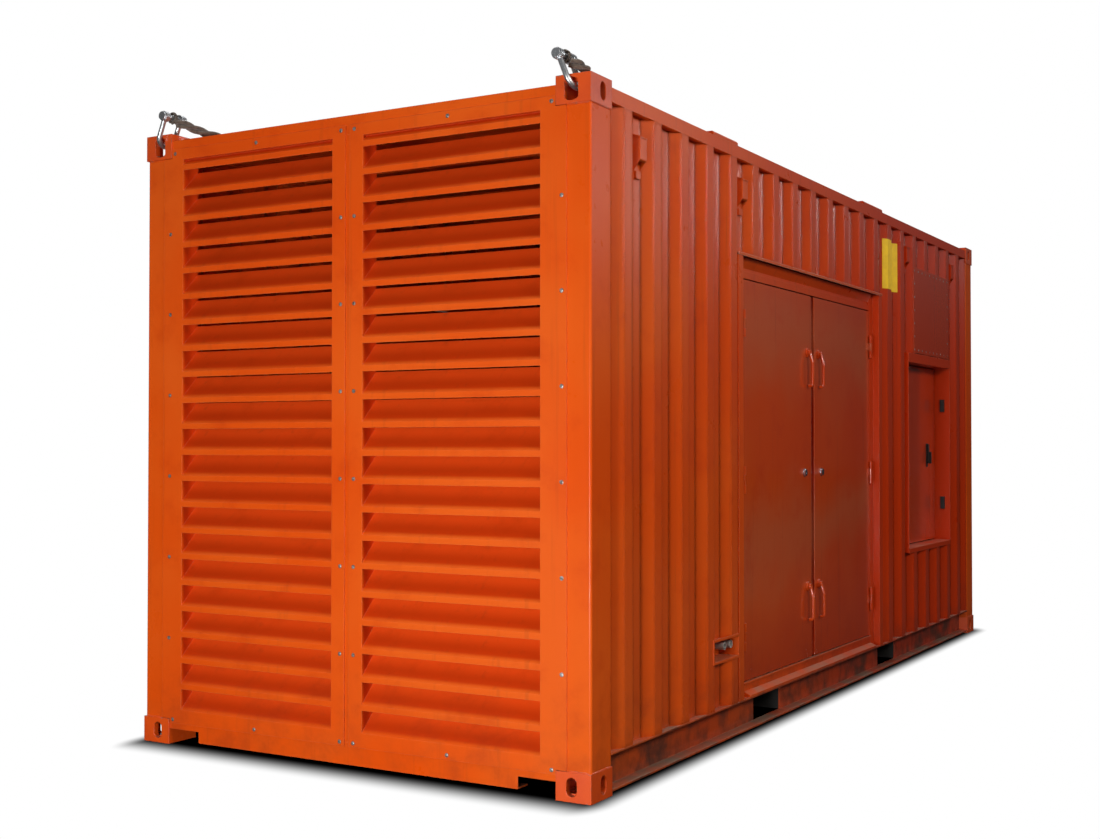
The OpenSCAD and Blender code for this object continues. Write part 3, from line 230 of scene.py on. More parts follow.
def enamel(name, gloss=0.24, peel=0.35, wear=0.5, grime=0.35, painted_rear_shade=0.0, round_off=0.004,
           dust=0.55, film=0.8, shine=0.5, even_darkening=0.0, worn=0.18,
           edge_wear_and_highlight_tone=(0.85, 0.32, 0.15), painted_sheen=0.0, painted_depth_shading=()):
    """Sprayed machine enamel on steel: slow shifts of tone, rain streaks, chips and specks.

    Each depth entry is an axis, the distances from the middle where its tone starts and is
    full, and that tone: a painted shade in recesses, and a painted fill light deep in the
    louvres. The rear gradient is a painted shade, the sheen bands are a painted reflection,
    and the pale edge tone is wear, and a painted highlight where it is set high.
    """
    f = Finish(name)
    at = f.place()
    height = f.axis(at, "Z")
    upward = f.axis(f.facing(), "Z")
    cloud = f.noise(at, 0.9, 3)
    blotch = f.noise(at, 5.5, 5, 0.6)
    streak = f.noise(f.stretched((26, 26, 0.8)), 1.0, 4, 0.6)
    fine = f.noise(at, 60, 3)
    tone = f.mix(cloud.fade(0.38, 0.66) * 0.55, PAINT, PAINT_FADED)
    # Painted shade: darker towards the rear, standing in for light that falls off along the sides
    if painted_rear_shade:
        tone = f.mix(f.axis(at, "Y").fade(-2.9, 1.6) * painted_rear_shade, tone, PAINT_REAR_SHADE)
    # Painted shade in recesses, and painted fill light deep in the louvres, by depth along one axis
    for axis, start, full, shade in painted_depth_shading:
        tone = f.mix(f.axis(at, axis).size().fade(start, full), tone, shade)
    # Painted reflection: pale sheen bands at two heights, and a darker reflected tone towards the bottom
    if painted_sheen:
        wavy = height + 0.9 * (cloud - 0.5) + 0.12 * (blotch - 0.5)
        upper = wavy.fade(1.45, 1.95) * wavy.fade(2.35, 1.95)
        lower = wavy.fade(0.6, 0.95) * wavy.fade(1.25, 0.95)
        tone = f.mix(upper.most(lower) * painted_sheen, tone, (0.52, 0.135, 0.055))
        tone = f.mix(wavy.fade(0.8, 0.3) * painted_sheen * 1.4, tone, PAINT_DEEP)
    tone = f.mix((blotch.fade(0.5, 0.8) * 0.4), tone, PAINT_DEEP)
    tone = f.mix(streak.fade(0.56, 0.78) * 0.22 * grime / 0.35, tone, GRIME)
    # Darkens the whole finish evenly towards the grime tone
    if even_darkening:
        tone = f.mix(even_darkening, tone, GRIME)
    low = height.fade(0.75, 0.0)
    splash = (low * low * blotch.fade(0.35, 0.7)) * grime
    tone = f.mix(splash, tone, GRIME)
    dusty = upward.fade(0.55, 0.95) * blotch.fade(0.2, 0.75) * dust
    tone = f.mix(dusty, tone, DUST)
    edge = f.edges(0.0064)
    nick = f.noise(at, 34, 5, 0.7)
    chip = (edge * nick.fade(0.60, 0.66)) * wear
    speck = f.noise(at, 21, 6, 0.75).fade(0.735, 0.755) * (0.3 + 0.7 * low) * wear
    bare = chip.most(speck)
    tone = f.mix(bare, tone, f.mix(fine.fade(0.4, 0.6), PRIMER, RUST))
    # Paler edges: rubbed paint, and a painted highlight where the share is set high, as on the drip rails
    rubbed_and_highlit = edge * nick.fade(0.3, 0.55) * worn
    tone = f.mix(rubbed_and_highlit, tone, edge_wear_and_highlight_tone)
    rough = gloss + 0.10 * blotch + 0.25 * dusty + 0.3 * bare + 0.18 * splash
    skin = f.noise(at, 190, 2) * 0.6 + f.noise(at, 14, 3) * 1.4
    coat = (1 - bare) * (1 - dusty) * film
    normal = f.bump(skin * peel - bare * 0.5, 0.10, 0.004, f.rounded(round_off))
    return f.surface(Base_Color=tone, Roughness=rough, Coat_Weight=coat, Coat_Roughness=0.09,
                     Specular_IOR_Level=shine, Normal=normal)


def cast_enamel(name):
    """Enamel over the rougher skin of cast steel."""
    f = Finish(name)
    at = f.place()
    upward = f.axis(f.facing(), "Z")
    blotch = f.noise(at, 9, 5, 0.6)
    grain = f.noise(at, 120, 4, 0.6)
    edge = f.edges(0.009)
    nick = f.noise(at, 42, 5, 0.7)
    tone = f.mix(blotch.fade(0.42, 0.75) * 0.5, PAINT, PAINT_DEEP)
    dusty = upward.fade(0.55, 0.95) * blotch.fade(0.2, 0.75) * 0.5
    tone = f.mix(dusty, tone, DUST)
    chip = (edge * nick.fade(0.55, 0.61)).most(nick.fade(0.70, 0.72) * 0.8)
    tone = f.mix(chip, tone, f.mix(grain.fade(0.42, 0.6), PRIMER, RUST))
    rough = 0.34 + 0.12 * blotch + 0.3 * chip + 0.2 * dusty
    lumps = f.noise(at, 34, 4, 0.55)
    normal = f.bump(grain * 0.35 + lumps * 0.65 - chip * 0.4, 0.22, 0.004, f.rounded(0.005))
    return f.surface(Base_Color=tone, Roughness=rough, Coat_Weight=(1 - chip) * 0.5,
                     Coat_Roughness=0.16, Normal=normal)


def underside_shade_finish():
    """Black on the underside, a painted shade standing in for the deep shade in the fork pockets and
    round the floor bearers, with mud thrown up on it.
    """
    f = Finish("black_underside_shade")
    at = f.place()
    lump = f.noise(at, 65, 5, 0.65)
    mud = f.noise(at, 6, 6, 0.65)
    tone = f.mix(mud.fade(0.5, 0.72) * 0.5, (0.010, 0.009, 0.008), (0.050, 0.036, 0.024))
    return f.surface(Base_Color=tone, Roughness=0.62 + 0.3 * mud,
                     Normal=f.bump(lump, 0.35, 0.004, f.rounded(0.003)))


def floor_steel():
    """Chequer-worn floor plate, dark and oily."""
    f = Finish("oiled_floor_plate")
    at = f.place()
    blotch = f.noise(at, 3.5, 6, 0.62)
    scratch = f.noise(f.stretched((3, 55, 3)), 1.0, 4, 0.65)
    tone = f.mix(blotch.fade(0.35, 0.7), (0.075, 0.072, 0.07), (0.03, 0.026, 0.023))
    tone = f.mix(scratch.fade(0.6, 0.75) * 0.5, tone, (0.18, 0.175, 0.17))
    return f.surface(Base_Color=tone, Metallic=0.55, Roughness=0.42 + 0.25 * blotch,
                     Normal=f.bump(scratch, 0.15, 0.003, f.rounded(0.003)))


def galvanised():
    """Hot-dip zinc with a faint spangle, dulled in patches."""
    f = Finish("hot_dip_zinc")
    at = f.place()
    spangle = f.cells(at, 130)
    blotch = f.noise(at, 38, 5, 0.6)
    edge = f.edges(0.006)
    tone = f.mix(spangle.fade(0.1, 0.7), (0.70, 0.72, 0.75), (0.52, 0.55, 0.58))
    tone = f.mix(blotch.fade(0.5, 0.72) * 0.55, tone, (0.22, 0.20, 0.18))
    tone = f.mix(edge * 0.4, tone, (0.85, 0.86, 0.88))
    return f.surface(Base_Color=tone, Metallic=0.95, Roughness=0.24 + 0.28 * blotch,
                     Normal=f.bump(blotch + spangle * 0.4, 0.12, 0.002, f.rounded(0.003)))


def chrome():
    f = Finish("lock_plating")
    at = f.place()
    pit = f.noise(at, 240, 3)
    haze = f.noise(at, 40, 4)
    tone = f.mix(haze.fade(0.4, 0.7), (0.78, 0.78, 0.80), (0.60, 0.60, 0.62))
    return f.surface(Base_Color=tone, Metallic=1.0, Roughness=0.10 + 0.16 * haze,
                     Normal=f.bump(pit, 0.05, 0.001, f.rounded(0.0015)))


def black_moulding():
    f = Finish("black_moulding")
    at = f.place()
    grain = f.noise(at, 420, 2)
    scuff = f.noise(f.stretched((30, 30, 8)), 1.0, 5, 0.6)
    edge = f.edges(0.004)
    tone = f.mix((edge * scuff.fade(0.4, 0.6)) * 0.6, (0.012, 0.012, 0.012), (0.06, 0.058, 0.055))
    return f.surface(Base_Color=tone, Roughness=0.36 + 0.22 * scuff,
                     Normal=f.bump(grain, 0.12, 0.001, f.rounded(0.002)))


def pale_moulding():
    """Grey plastic of the outlet fittings."""
    f = Finish("grey_fitting_moulding")
    at = f.place()
    haze = f.noise(at, 46, 5, 0.6)
    tone = f.mix(haze.fade(0.4, 0.72), (0.46, 0.45, 0.43), (0.25, 0.235, 0.22))
    return f.surface(Base_Color=tone, Roughness=0.34 + 0.2 * haze,
                     Normal=f.bump(haze, 0.08, 0.001, f.rounded(0.002)))


def rope_fibre():
    """Weathered fibre: thin yarns along the strands, grey on top, and a painted shade darkening the
    grooves between them.
    """
    f = Finish("weathered_rope_fibre")
    at = f.place()
    along = f.node("ShaderNodeAttribute", {"attribute_name": "lay"}, None, "Vector")
    turn = f.axis(along, "X")
    run = f.axis(along, "Y")
    yarn = f.node("ShaderNodeMath", {"operation": "SINE"}, {0: turn * 75 + run * 420})
    blotch = f.noise(at, 48, 5, 0.65)
    fuzz = f.noise(at, 520, 3, 0.7)
    tone = f.mix(blotch.fade(0.32, 0.68), (0.20, 0.145, 0.105), (0.075, 0.050, 0.038))
    tone = f.mix(fuzz.fade(0.5, 0.75) * 0.4, tone, (0.36, 0.29, 0.23))
    # Painted shade: darker in the grooves between the yarns
    tone = f.mix(yarn.fade(0.2, -0.9) * 0.65, tone, (0.025, 0.016, 0.013))
    height = yarn * 0.5 + fuzz
    return f.surface(Base_Color=tone, Roughness=0.85 + 0.1 * fuzz, Sheen_Weight=0.25,
                     Sheen_Roughness=0.5, Normal=f.bump(height, 0.55, 0.003))


def yellow_film():
    """Printed vinyl film, left bare, with a faint painted glow in its own tone."""
    f = Finish("yellow_film")
    at = f.place()
    haze = f.noise(at, 22, 5, 0.62)
    speck = f.noise(at, 90, 5, 0.7)
    tone = f.mix(haze.fade(0.35, 0.7) * 0.6, (0.88, 0.55, 0.004), (0.72, 0.42, 0.006))
    tone = f.mix(speck.fade(0.66, 0.72) * 0.6, tone, (0.40, 0.20, 0.03))
    # The emission is painted light: the film glows faintly in its own tone
    return f.surface(Base_Color=tone, Roughness=0.38 + 0.2 * haze, Coat_Weight=0.2,
                     Coat_Roughness=0.2, Emission_Color=tone, Emission_Strength=0.16,
                     Normal=f.bump(haze, 0.12, 0.002))


def screw_zinc():
    f = Finish("plated_screw_steel")
    at = f.place()
    haze = f.noise(at, 75, 4, 0.6)
    tone = f.mix(haze.fade(0.42, 0.68), (0.40, 0.39, 0.38), (0.13, 0.085, 0.06))
    return f.surface(Base_Color=tone, Metallic=0.85, Roughness=0.30 + 0.3 * haze,
                     Normal=f.bump(haze, 0.1, 0.001))


END_ENAMEL = enamel("end_enamel", wear=0.45, grime=0.22, film=0.05, shine=0.12)
# Louvres: painted shade on the slopes under the lips, and painted fill light deeper in
LOUVRE_ENAMEL = enamel("louvre_enamel", gloss=0.34, wear=0.4, grime=0.22, dust=0.0, film=0.05, shine=0.12,
                       painted_depth_shading=(("Y", 3.022, 3.008, BLADE_SLOPE_SHADE), ("Y", 3.0, 2.945, BLADE_TOP_FILL_LIGHT)))
# The rear gradient set on the side, sheet, rail, door and leaf finishes is a painted shade
SIDE_ENAMEL = enamel("side_enamel", wear=0.45, grime=0.4, painted_rear_shade=0.9, film=0.3, shine=0.25)
SHEET_ENAMEL = enamel("sheet_enamel", wear=0.4, grime=0.4, painted_rear_shade=0.9, round_off=0.026,
                      film=0.65, shine=0.25)
# Drip rails: the pale edge tone is mostly a painted highlight along the lip, with some edge wear
DRIP_ENAMEL = enamel("drip_enamel", gloss=0.16, wear=0.3, grime=0.1, worn=0.95,
                     edge_wear_and_highlight_tone=(0.95, 0.62, 0.50))
# Rails: also darkened evenly all over
RAIL_ENAMEL = enamel("rail_enamel", gloss=0.36, wear=0.6, grime=0.95, painted_rear_shade=0.9, film=0.3,
                     shine=0.3, even_darkening=0.32)
DOOR_ENAMEL = enamel("door_enamel", gloss=0.18, peel=0.2, wear=0.35, grime=0.3, painted_rear_shade=0.8)
# Leaves: painted sheen bands, painted shade in the meeting rebate, and painted shade towards the rear
LEAF_ENAMEL = enamel("leaf_enamel", gloss=0.18, peel=0.2, wear=0.35, grime=0.3, painted_rear_shade=0.8,
                     painted_sheen=0.45, painted_depth_shading=(("X", 1.1745, 1.168, (0.26, 0.008, 0.0006)),))
UNDERSIDE_SHADE = underside_shade_finish()
CAST_ENAMEL = cast_enamel("casting_enamel")
FLOOR_STEEL = floor_steel()
ZINC = galvanised()
PLATING = chrome()
BLACK = black_moulding()
GREY = pale_moulding()
FIBRE = rope_fibre()
FILM = yellow_film()
SCREW = screw_zinc()

FINISHES = (
    (END_ENAMEL, "corner_posts end_headers end_sills centre_posts"),
    (LOUVRE_ENAMEL, "front_louvre_left front_louvre_right rear_louvre_left rear_louvre_right"),
    (SHEET_ENAMEL, "right_wall_front right_wall_over_door right_wall_middle right_wall_over_control "
                   "right_wall_under_control right_wall_rear left_wall_front left_wall_over_door "
                   "left_wall_rear"),
    (RAIL_ENAMEL, "rail_strips rail_webs"),
    (DRIP_ENAMEL, "drip_rails"),
    (LEAF_ENAMEL, "right_door_front right_door_rear left_door_leaves"),
    (DOOR_ENAMEL, "control_door control_top_panel front_leaf_bosses rear_leaf_bosses "
                  "lever_front_upper lever_front_lower lever_rear_upper lever_rear_lower "
                  "left_door_levers"),
    (CAST_ENAMEL, "top_castings bottom_castings"),
    # Painted shade: black in the fork pockets and on the floor bearers
    (UNDERSIDE_SHADE, "fork_pockets floor_bearers"),
    (FLOOR_STEEL, "floor_deck"),
    (PLATING, "front_leaf_lock rear_leaf_lock"),
    (GREY, "outlet_fittings"),
    (BLACK, "control_handle control_handle_dish control_catches"),
    (ZINC, "shackle_bows shackle_pins"),
)
finish_of = {name: finish for finish, names in FINISHES for name in names.split()}


def dress(name, material):
    slots = nodes[name].data.materials
    slots.clear()
    slots.append(material)


for name in nodes:
    dress(name, finish_of.get(name, SIDE_ENAMEL))


# Making pieces

def piece(name, bm, material, body="enclosure", smooth_under=None):
    """A finished piece at the origin, riding on a body, with its normals outwards."""
    mesh = bpy.data.meshes.new(name)
    bm.to_mesh(mesh)
    bm.free()
    mesh.materials.append(material)
    if smooth_under is not None:
        mesh.shade_smooth()
        mesh.set_sharp_from_angle(angle=math.radians(smooth_under))
    made = bpy.data.objects.new(name, mesh)
    scene.collection.objects.link(made)
    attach(made, body)
    return made


def copies(shape, places):
    """One bmesh with the shape repeated at each place."""
    bm = bmesh.new()
    for place in places:
        first = len(bm.verts)
        bm.from_mesh(shape)
        bm.verts.ensure_lookup_table()
        bmesh.ops.transform(bm, matrix=place, verts=bm.verts[first:])
    return bm


def pan_screw(radius, head):
    """A pan head on a washer, with a round recess in its top; its seat is at z 0."""
    bm = bmesh.new()
    bmesh.ops.create_circle(bm, cap_ends=True, segments=12, radius=radius * 1.35)
    seat = bm.faces[:]
    washer = bmesh.ops.extrude_face_region(bm, geom=seat)
    top = [e for e in washer["geom"] if isinstance(e, bmesh.types.BMFace)]
    bmesh.ops.translate(bm, vec=(0, 0, head * 0.25),
                        verts=[v for v in washer["geom"] if isinstance(v, bmesh.types.BMVert)])
    bmesh.ops.inset_region(bm, faces=top, thickness=radius * 0.35, use_even_offset=True)
    for rise, shrink in ((head * 0.5, 0.97), (head * 0.25, 0.72)):
        raised = bmesh.ops.extrude_face_region(bm, geom=top)
        bmesh.ops.delete(bm, geom=top, context="FACES_ONLY")
        top = [e for e in raised["geom"] if isinstance(e, bmesh.types.BMFace)]
        verts = [v for v in raised["geom"] if isinstance(v, bmesh.types.BMVert)]
        bmesh.ops.translate(bm, vec=(0, 0, rise), verts=verts)
        bmesh.ops.scale(bm, vec=(shrink, shrink, 1), verts=verts)
    bmesh.ops.inset_region(bm, faces=top, thickness=radius * 0.18, use_even_offset=True)
    bmesh.ops.inset_region(bm, faces=top, thickness=radius * 0.12, depth=-head * 0.3,
                           use_even_offset=True)
    bmesh.ops.delete(bm, geom=seat, context="FACES_ONLY")
    bmesh.ops.recalc_face_normals(bm, faces=bm.faces)
    shape = bpy.data.meshes.new("pan_screw")
    bm.to_mesh(shape)
    bm.free()
    return shape


def facing_out(point, outward):
    """A place at a point, with z turned outwards."""
    turn = Vector((0, 0, 1)).rotation_difference(Vector(outward)).to_matrix().to_4x4()
    return Matrix.Translation(point) @ turn


# Sling: one laid rope from eye to eye, over the right casting and across the roof's front edge
SHACKLE_Y = -2.997
PIN_X = 1.0805
PIN_Z = 2.9783
EYE_RADIUS = 0.0213
EYE_ROPE = 0.009
SLING_RADIUS = 0.022
SLING_START = 0.0343 * math.sin(math.radians(45))
SLING_Z = 2.8832
SLING_FALL = PIN_Z - SLING_START - SLING_Z
SLING_OVER = ((2.05, 0.86, 0.89), (2.66, 2.14, 0.78), (2.57, 3.59, 0.68), (1.89, 5.05, 0.61),
              (0.7, 6.45, 0.54), (-0.84, 7.9, 0.41), (-2.8, 9.4, 0.24), (-5.2, 11.2, 0.08))
SLING_ACROSS = ((0.83, 13.2, 0), (0.74, 14.9, 0), (0.62, 15.9, 0), (0.45, 16.3, 0), (0.25, 16.4, 0),
                (0.05, 16.3, 0), (-0.15, 15.9, 0), (-0.32, 15, 0), (-0.46, 13.6, 0),
                (-0.58, 11.9, 0), (-0.68, 10.2, 0), (-0.76, 8.5, 0.02), (-0.82, 6.8, 0.08),
                (-0.865, 5.1, 0.24), (-0.9, 3.3, 0.48), (-0.928, 1.7, 0.72), (-0.955, 0.5, 0.9))


def sling_route():
    """The route's points in metres, from the right eye to the left one."""
    def spot(x, behind, rise):
        return Vector((x, SHACKLE_Y + behind * SLING_RADIUS, SLING_Z + rise * SLING_FALL))

    over = [spot(PIN_X + out * SLING_RADIUS, behind, rise) for out, behind, rise in SLING_OVER]
    across = [spot(share * PIN_X, behind, rise) for share, behind, rise in SLING_ACROSS]
    return [spot(PIN_X + SLING_START, 0, 1), *over, *across, spot(SLING_START - PIN_X, 0, 1)]


def smooth_line(points, steps):
    """A curve through the points, with some steps between each two."""
    line = []
    last = len(points) - 1
    for i in range(last):
        before = points[max(i - 1, 0)]
        after = points[min(i + 2, last)]
        a, b = points[i], points[i + 1]
        for k in range(steps):
            t = k / steps
            line.append(0.5 * (2 * a + (b - before) * t + (2 * before - 5 * a + 4 * b - after) * t * t
                               + (3 * a - before - 3 * b + after) * t ** 3))
    line.append(points[last])
    return line


def length_of(line):
    return sum((b - a).length for a, b in zip(line, line[1:]))


STRANDS = 3
STRAND_SIDES = 10
STRAND_SHARE = 0.4641


def lay_strands(line, radius, turn_length, closed=False):
    """Strands laid round a line, each swept from a circle that is extruded step by step."""
    bm = bmesh.new()
    lay = bm.verts.layers.float_vector.new("lay")
    count = len(line)
    total = length_of(line)
    turns = max(1, round(total / turn_length)) if closed else total / turn_length
    for strand in range(STRANDS):
        run = 0.0
        for i, point in enumerate(line):
            ahead = line[(i + 1) % count] if closed else line[min(i + 1, count - 1)]
            behind = line[i - 1] if closed or i else line[0]
            along = (ahead - behind).normalized()
            side = along.cross(Vector((0, 1, 0) if closed else (0, 0, 1))).normalized()
            over = side.cross(along)
            if i:
                run += (point - line[i - 1]).length
            angle = 2 * math.pi * (turns * run / total + strand / STRANDS)
            offset = radius * (1 - STRAND_SHARE)
            centre = point + (side * math.cos(angle) + over * math.sin(angle)) * offset
            place = (Matrix.Translation(centre)
                     @ Matrix((side, over, along)).transposed().to_4x4()
                     @ Matrix.Rotation(angle, 4, "Z"))
            if i == 0:
                ring = bmesh.ops.create_circle(bm, segments=STRAND_SIDES,
                                               radius=radius * STRAND_SHARE, matrix=place)["verts"]
                loop = list({edge for vert in ring for edge in vert.link_edges})
                first = loop
                for k, vert in enumerate(ring):
                    vert[lay] = (k / STRAND_SIDES, 0, 0)
            else:
                pushed = bmesh.ops.extrude_edge_only(bm, edges=loop)["geom"]
                ring = [v for v in pushed if isinstance(v, bmesh.types.BMVert)]
                loop = [e for e in pushed if isinstance(e, bmesh.types.BMEdge)]
                bmesh.ops.transform(bm, matrix=place @ last.inverted(), verts=ring)
                for vert in ring:
                    vert[lay] = (vert[lay].x, run, 0)
            last = place
        if closed:
            bmesh.ops.bridge_loops(bm, edges=first + loop)
        else:
            bmesh.ops.edgeloop_fill(bm, edges=first)
            bmesh.ops.edgeloop_fill(bm, edges=loop)
    bmesh.ops.recalc_face_normals(bm, faces=bm.faces)
    return bm


def make_sling():
    line = smooth_line(sling_route(), 10)
    rope = piece("sling_lay", lay_strands(line, SLING_RADIUS, 0.21), FIBRE,
                 smooth_under=60)
    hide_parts("sling_rope")
    for side, name in ((1, "right"), (-1, "left")):
        centre = Vector((side * PIN_X, SHACKLE_Y, PIN_Z))
        loop = [centre + Vector((math.cos(a), 0, math.sin(a))) * EYE_RADIUS
                for a in (2 * math.pi * k / 40 for k in range(40))]
        eye = piece("sling_eye_" + name, lay_strands(loop, EYE_ROPE, 0.06, True), FIBRE,
                    smooth_under=60)
    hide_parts("sling_eyes")
    start = sling_route()[0]


make_sling()


# Louvre screws, on both ends
FLANGE_Y = 3.026
SCREW_SINK = 0.0004
OUTER_SCREW_X = 1.083
INNER_SCREW_X = 0.037
SCREW_LOW = 0.117
SCREW_STEP = 0.383
TOP_SCREW_Z = 2.798
BOTTOM_SCREW_Z = 0.120
MIDDLE_SCREW_X = 0.53


def louvre_screws():
    spots = []
    for side in (-1, 1):
        for i in range(8):
            height = SCREW_LOW + SCREW_STEP * i
            outer = OUTER_SCREW_X - (0.02 if side < 0 else 0) if 0 < i < 7 else 1.036
            spots.append((side * outer, height))
            spots.append((side * INNER_SCREW_X, height))
        spots.append((side * MIDDLE_SCREW_X, TOP_SCREW_Z))
        spots.append((side * MIDDLE_SCREW_X, BOTTOM_SCREW_Z))
    shape = pan_screw(0.0068, 0.0030)
    for end, name in ((-1, "front"), (1, "rear")):
        seats = [facing_out((x, end * (FLANGE_Y - SCREW_SINK), z), (0, end, 0))
                 for x, z in spots]
        piece(name + "_louvre_screws", copies(shape, seats), SCREW,
              smooth_under=40)
    bpy.data.meshes.remove(shape)


louvre_screws()


# Screws round the plate over the control recess
PANEL_Y = (1.470, 2.330)
PANEL_Z = (2.026, 2.600)
PANEL_FACE = 1.218


def panel_screws():
    spots = []
    for i in range(7):
        height = PANEL_Z[0] + 0.022 + i * (PANEL_Z[1] - PANEL_Z[0] - 0.044) / 6
        spots += [(PANEL_Y[0] + 0.018, height), (PANEL_Y[1] - 0.018, height)]
    for i in range(1, 9):
        across = PANEL_Y[0] + 0.018 + i * (PANEL_Y[1] - PANEL_Y[0] - 0.036) / 9
        spots += [(across, PANEL_Z[0] + 0.022), (across, PANEL_Z[1] - 0.022)]
    shape = pan_screw(0.0052, 0.0011)
    seats = [facing_out((PANEL_FACE - 0.0002, y, z), (1, 0, 0)) for y, z in spots]
    piece("panel_screws", copies(shape, seats), SCREW, smooth_under=40)
    bpy.data.meshes.remove(shape)


panel_screws()


# Bare yellow film that follows the corrugation
CREST_X = 1.215
VALLEY_X = 1.179
FILM_LINE = ((0.857, 0.345), (0.9015, 1.0), (0.9735, 1.0), (1.0415, 0.0), (1.113, 0.0),
             (1.153, 0.59))
FILM_Z = (2.402, 2.718)
FILM_GAP = 0.0006
FILM_THICK = 0.0006


def film():
    bm = bmesh.new()
    rail = [bm.verts.new((VALLEY_X + (CREST_X - VALLEY_X) * rise + FILM_GAP, y, FILM_Z[0]))
            for y, rise in FILM_LINE]
    edges = [bm.edges.new(pair) for pair in zip(rail, rail[1:])]
    bmesh.ops.subdivide_edges(bm, edges=edges, cuts=2)
    raised = bmesh.ops.extrude_edge_only(bm, edges=bm.edges[:])
    bmesh.ops.translate(bm, vec=(0, 0, FILM_Z[1] - FILM_Z[0]),
                        verts=[v for v in raised["geom"] if isinstance(v, bmesh.types.BMVert)])
    bmesh.ops.recalc_face_normals(bm, faces=bm.faces)
    if sum((f.normal.x for f in bm.faces)) < 0:
        bmesh.ops.reverse_faces(bm, faces=bm.faces)
    bmesh.ops.solidify(bm, geom=bm.faces[:], thickness=-FILM_THICK)
    piece("yellow_film_panel", bm, FILM)


film()


# Weld beads where the castings meet the posts
CASTING_X = 1.219
CASTING_Y = 3.029
POST_X = 1.215
POST_Y = 3.021
CASTING_TOP = 2.778
CASTING_BOTTOM = 0.118


def bead(bm, start, end, radius, seed):
    """A rippled bead between two points, from a ring that is extruded and pinched in turn."""
    start = Vector(start)
    way = Vector(end) - start
    steps = max(6, round(way.length / 0.007))
    turn = Vector((0, 0, 1)).rotation_difference(way).to_matrix().to_4x4()
    made = bmesh.ops.create_circle(bm, cap_ends=True, segments=8, radius=radius * 0.5,
                                   matrix=Matrix.Translation(start) @ turn)
    face = made["verts"][0].link_faces[0]
    for i in range(1, steps + 1):
        pushed = bmesh.ops.extrude_discrete_faces(bm, faces=[face])
        face = pushed["faces"][0]
        centre = start + way * (i / steps)
        wave = 1 + 0.16 * math.sin(2.1 * i + seed) + 0.09 * math.sin(5.3 * i + 2 * seed)
        aim = radius * (0.5 if i == steps else 0.86 * wave)
        now = (face.verts[0].co - face.calc_center_median()).length
        bmesh.ops.translate(bm, vec=centre - face.calc_center_median(), verts=face.verts)
        bmesh.ops.scale(bm, vec=(aim / now,) * 3, verts=face.verts,
                        space=Matrix.Translation(-centre))


def casting_welds():
    bm = bmesh.new()
    seed = 0
    for sx in (-1, 1):
        for sy in (-1, 1):
            for z in (CASTING_TOP, CASTING_BOTTOM):
                seed += 1
                lift = -0.0012 if z == CASTING_TOP else 0.0012
                side = sx * (POST_X - 0.0008)
                end = sy * (POST_Y + 0.0006)
                bead(bm, (side, sy * 3.012, z + lift), (side, sy * 2.858, z + lift), 0.0042, seed)
                bead(bm, (sx * 1.206, end, z + lift), (sx * 1.115, end, z + lift), 0.0045, seed + 9)
    bmesh.ops.recalc_face_normals(bm, faces=bm.faces)
    piece("casting_welds", bm, CAST_ENAMEL, smooth_under=50)


casting_welds()


# Floor and lights
FOOT_X = 1.185
FOOT_Y = 2.985
SHADOW_X = 0.14
SHADOW_Y = 0.27


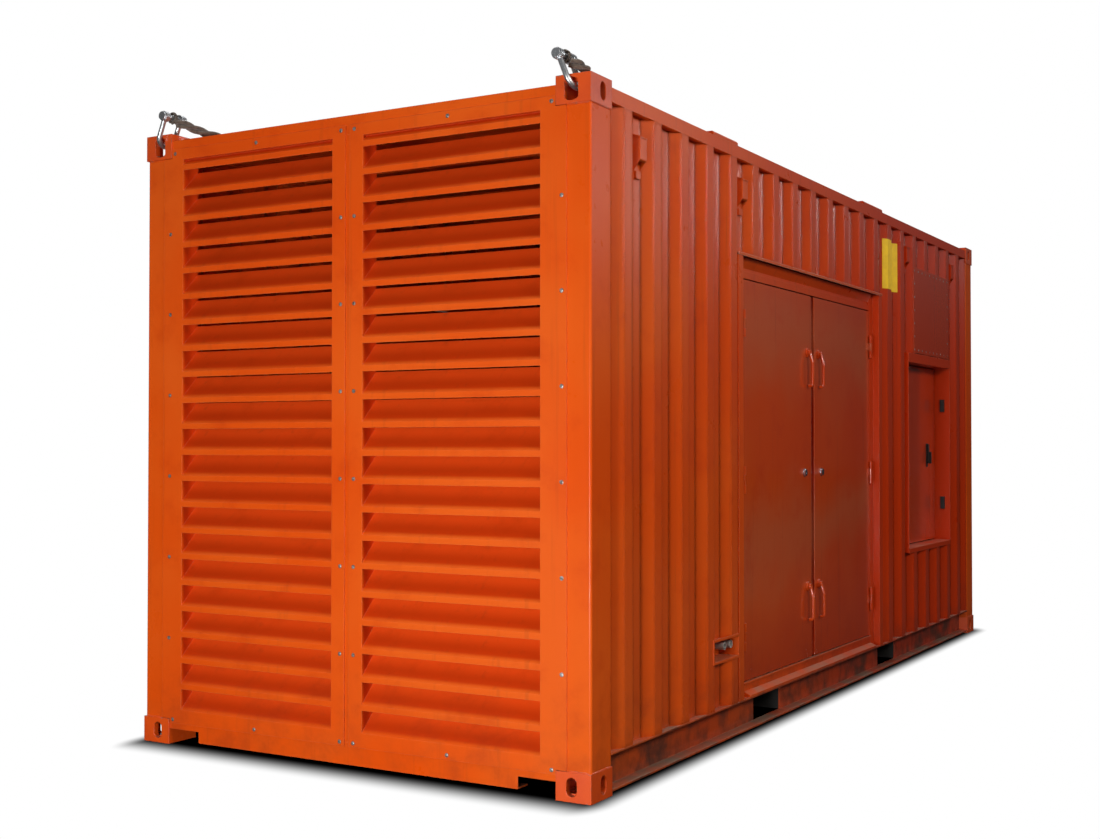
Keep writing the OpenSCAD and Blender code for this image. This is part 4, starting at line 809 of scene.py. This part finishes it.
def stage_floor():
    bm = bmesh.new()
    bmesh.ops.create_grid(bm, x_segments=1, y_segments=1, size=60)
    mesh = bpy.data.meshes.new("studio_floor")
    bm.to_mesh(mesh)
    bm.free()
    made = bpy.data.objects.new("studio_floor", mesh)
    made.location.z = -0.001
    scene.collection.objects.link(made)
    # Camera rays see the floor glow white, with a painted soft shadow round the container's foot; other
    # rays see a dark floor
    f = Finish("pale_floor")
    seen = f.node("ShaderNodeLightPath", out="Is Camera Ray")
    at = f.place()
    beside = ((f.axis(at, "X").size() - FOOT_X).most(0) / SHADOW_X).power(2)
    ahead = ((f.axis(at, "Y").size() - FOOT_Y).most(0) / SHADOW_Y).power(2)
    light = (beside + ahead).power(0.5).fade(0, 1).power(1.4)
    glow = f.node("ShaderNodeEmission", None, {"Color": light, "Strength": 1.0})
    dim = f.node("ShaderNodeBsdfDiffuse", None, {"Color": (0.035, 0.03, 0.027)})
    both = f.node("ShaderNodeMixShader", None, {0: seen, 1: dim, 2: glow})
    f.node("ShaderNodeOutputMaterial", None, {"Surface": both})
    mesh.materials.append(f.material)


def soft_light(name, at, aim, size, power, colour=(1, 1, 1)):
    data = bpy.data.lights.new(name, "AREA")
    data.shape = "RECTANGLE"
    data.size, data.size_y = size
    data.energy = power
    data.color = colour
    light = bpy.data.objects.new(name, data)
    light.location = at
    light.visible_camera = False
    light.rotation_euler = (Vector(aim) - Vector(at)).to_track_quat("-Z", "Y").to_euler()
    scene.collection.objects.link(light)


def studio_air():
    world = bpy.data.worlds.new("studio_air")
    scene.world = world
    world.use_nodes = True
    f = Finish("air", world.node_tree)
    seen = f.node("ShaderNodeLightPath", out="Is Camera Ray")
    white = f.node("ShaderNodeBackground", None, {"Color": (1, 1, 1), "Strength": 1.0})
    toward = f.node("ShaderNodeTexCoord", out="Generated")
    above = f.axis(toward, "Z").fade(0.05, 0.2)
    behind = f.axis(toward, "X").fade(-0.05, -0.6) * f.axis(toward, "Y").fade(-0.3, 0.3)
    dim = f.node("ShaderNodeBackground", None,
                 {"Color": (1, 0.97, 0.94), "Strength": 0.02 + 0.09 * above + 0.8 * behind})
    both = f.node("ShaderNodeMixShader", None, {0: seen, 1: dim, 2: white})
    f.node("ShaderNodeOutputWorld", None, {"Surface": both})


scene.view_settings.view_transform = "Standard"
stage_floor()
studio_air()
soft_light("key", (1.3, -8.8, 0.5), (-0.1, -3.0, 0.9), (2.4, 1.4), 340)
soft_light("low", (1.2, -7.2, 0.25), (0.6, -3.0, 0.3), (3.0, 0.6), 40)
soft_light("far_right", (9.0, -8.0, 1.5), (0.6, -3.0, 1.3), (1.2, 2.4), 25)
soft_light("side", (7.2, -4.0, 4.6), (1.2, -1.0, 1.3), (2.4, 1.8), 222, (1, 0.93, 0.86))
soft_light("strip", (8.3, 6.8, 4.7), (1.2, -1.5, 2.5), (0.4, 1.4), 100)
soft_light("top", (0, 0, 14.0), (0, 0, 0), (9, 11), 1200)
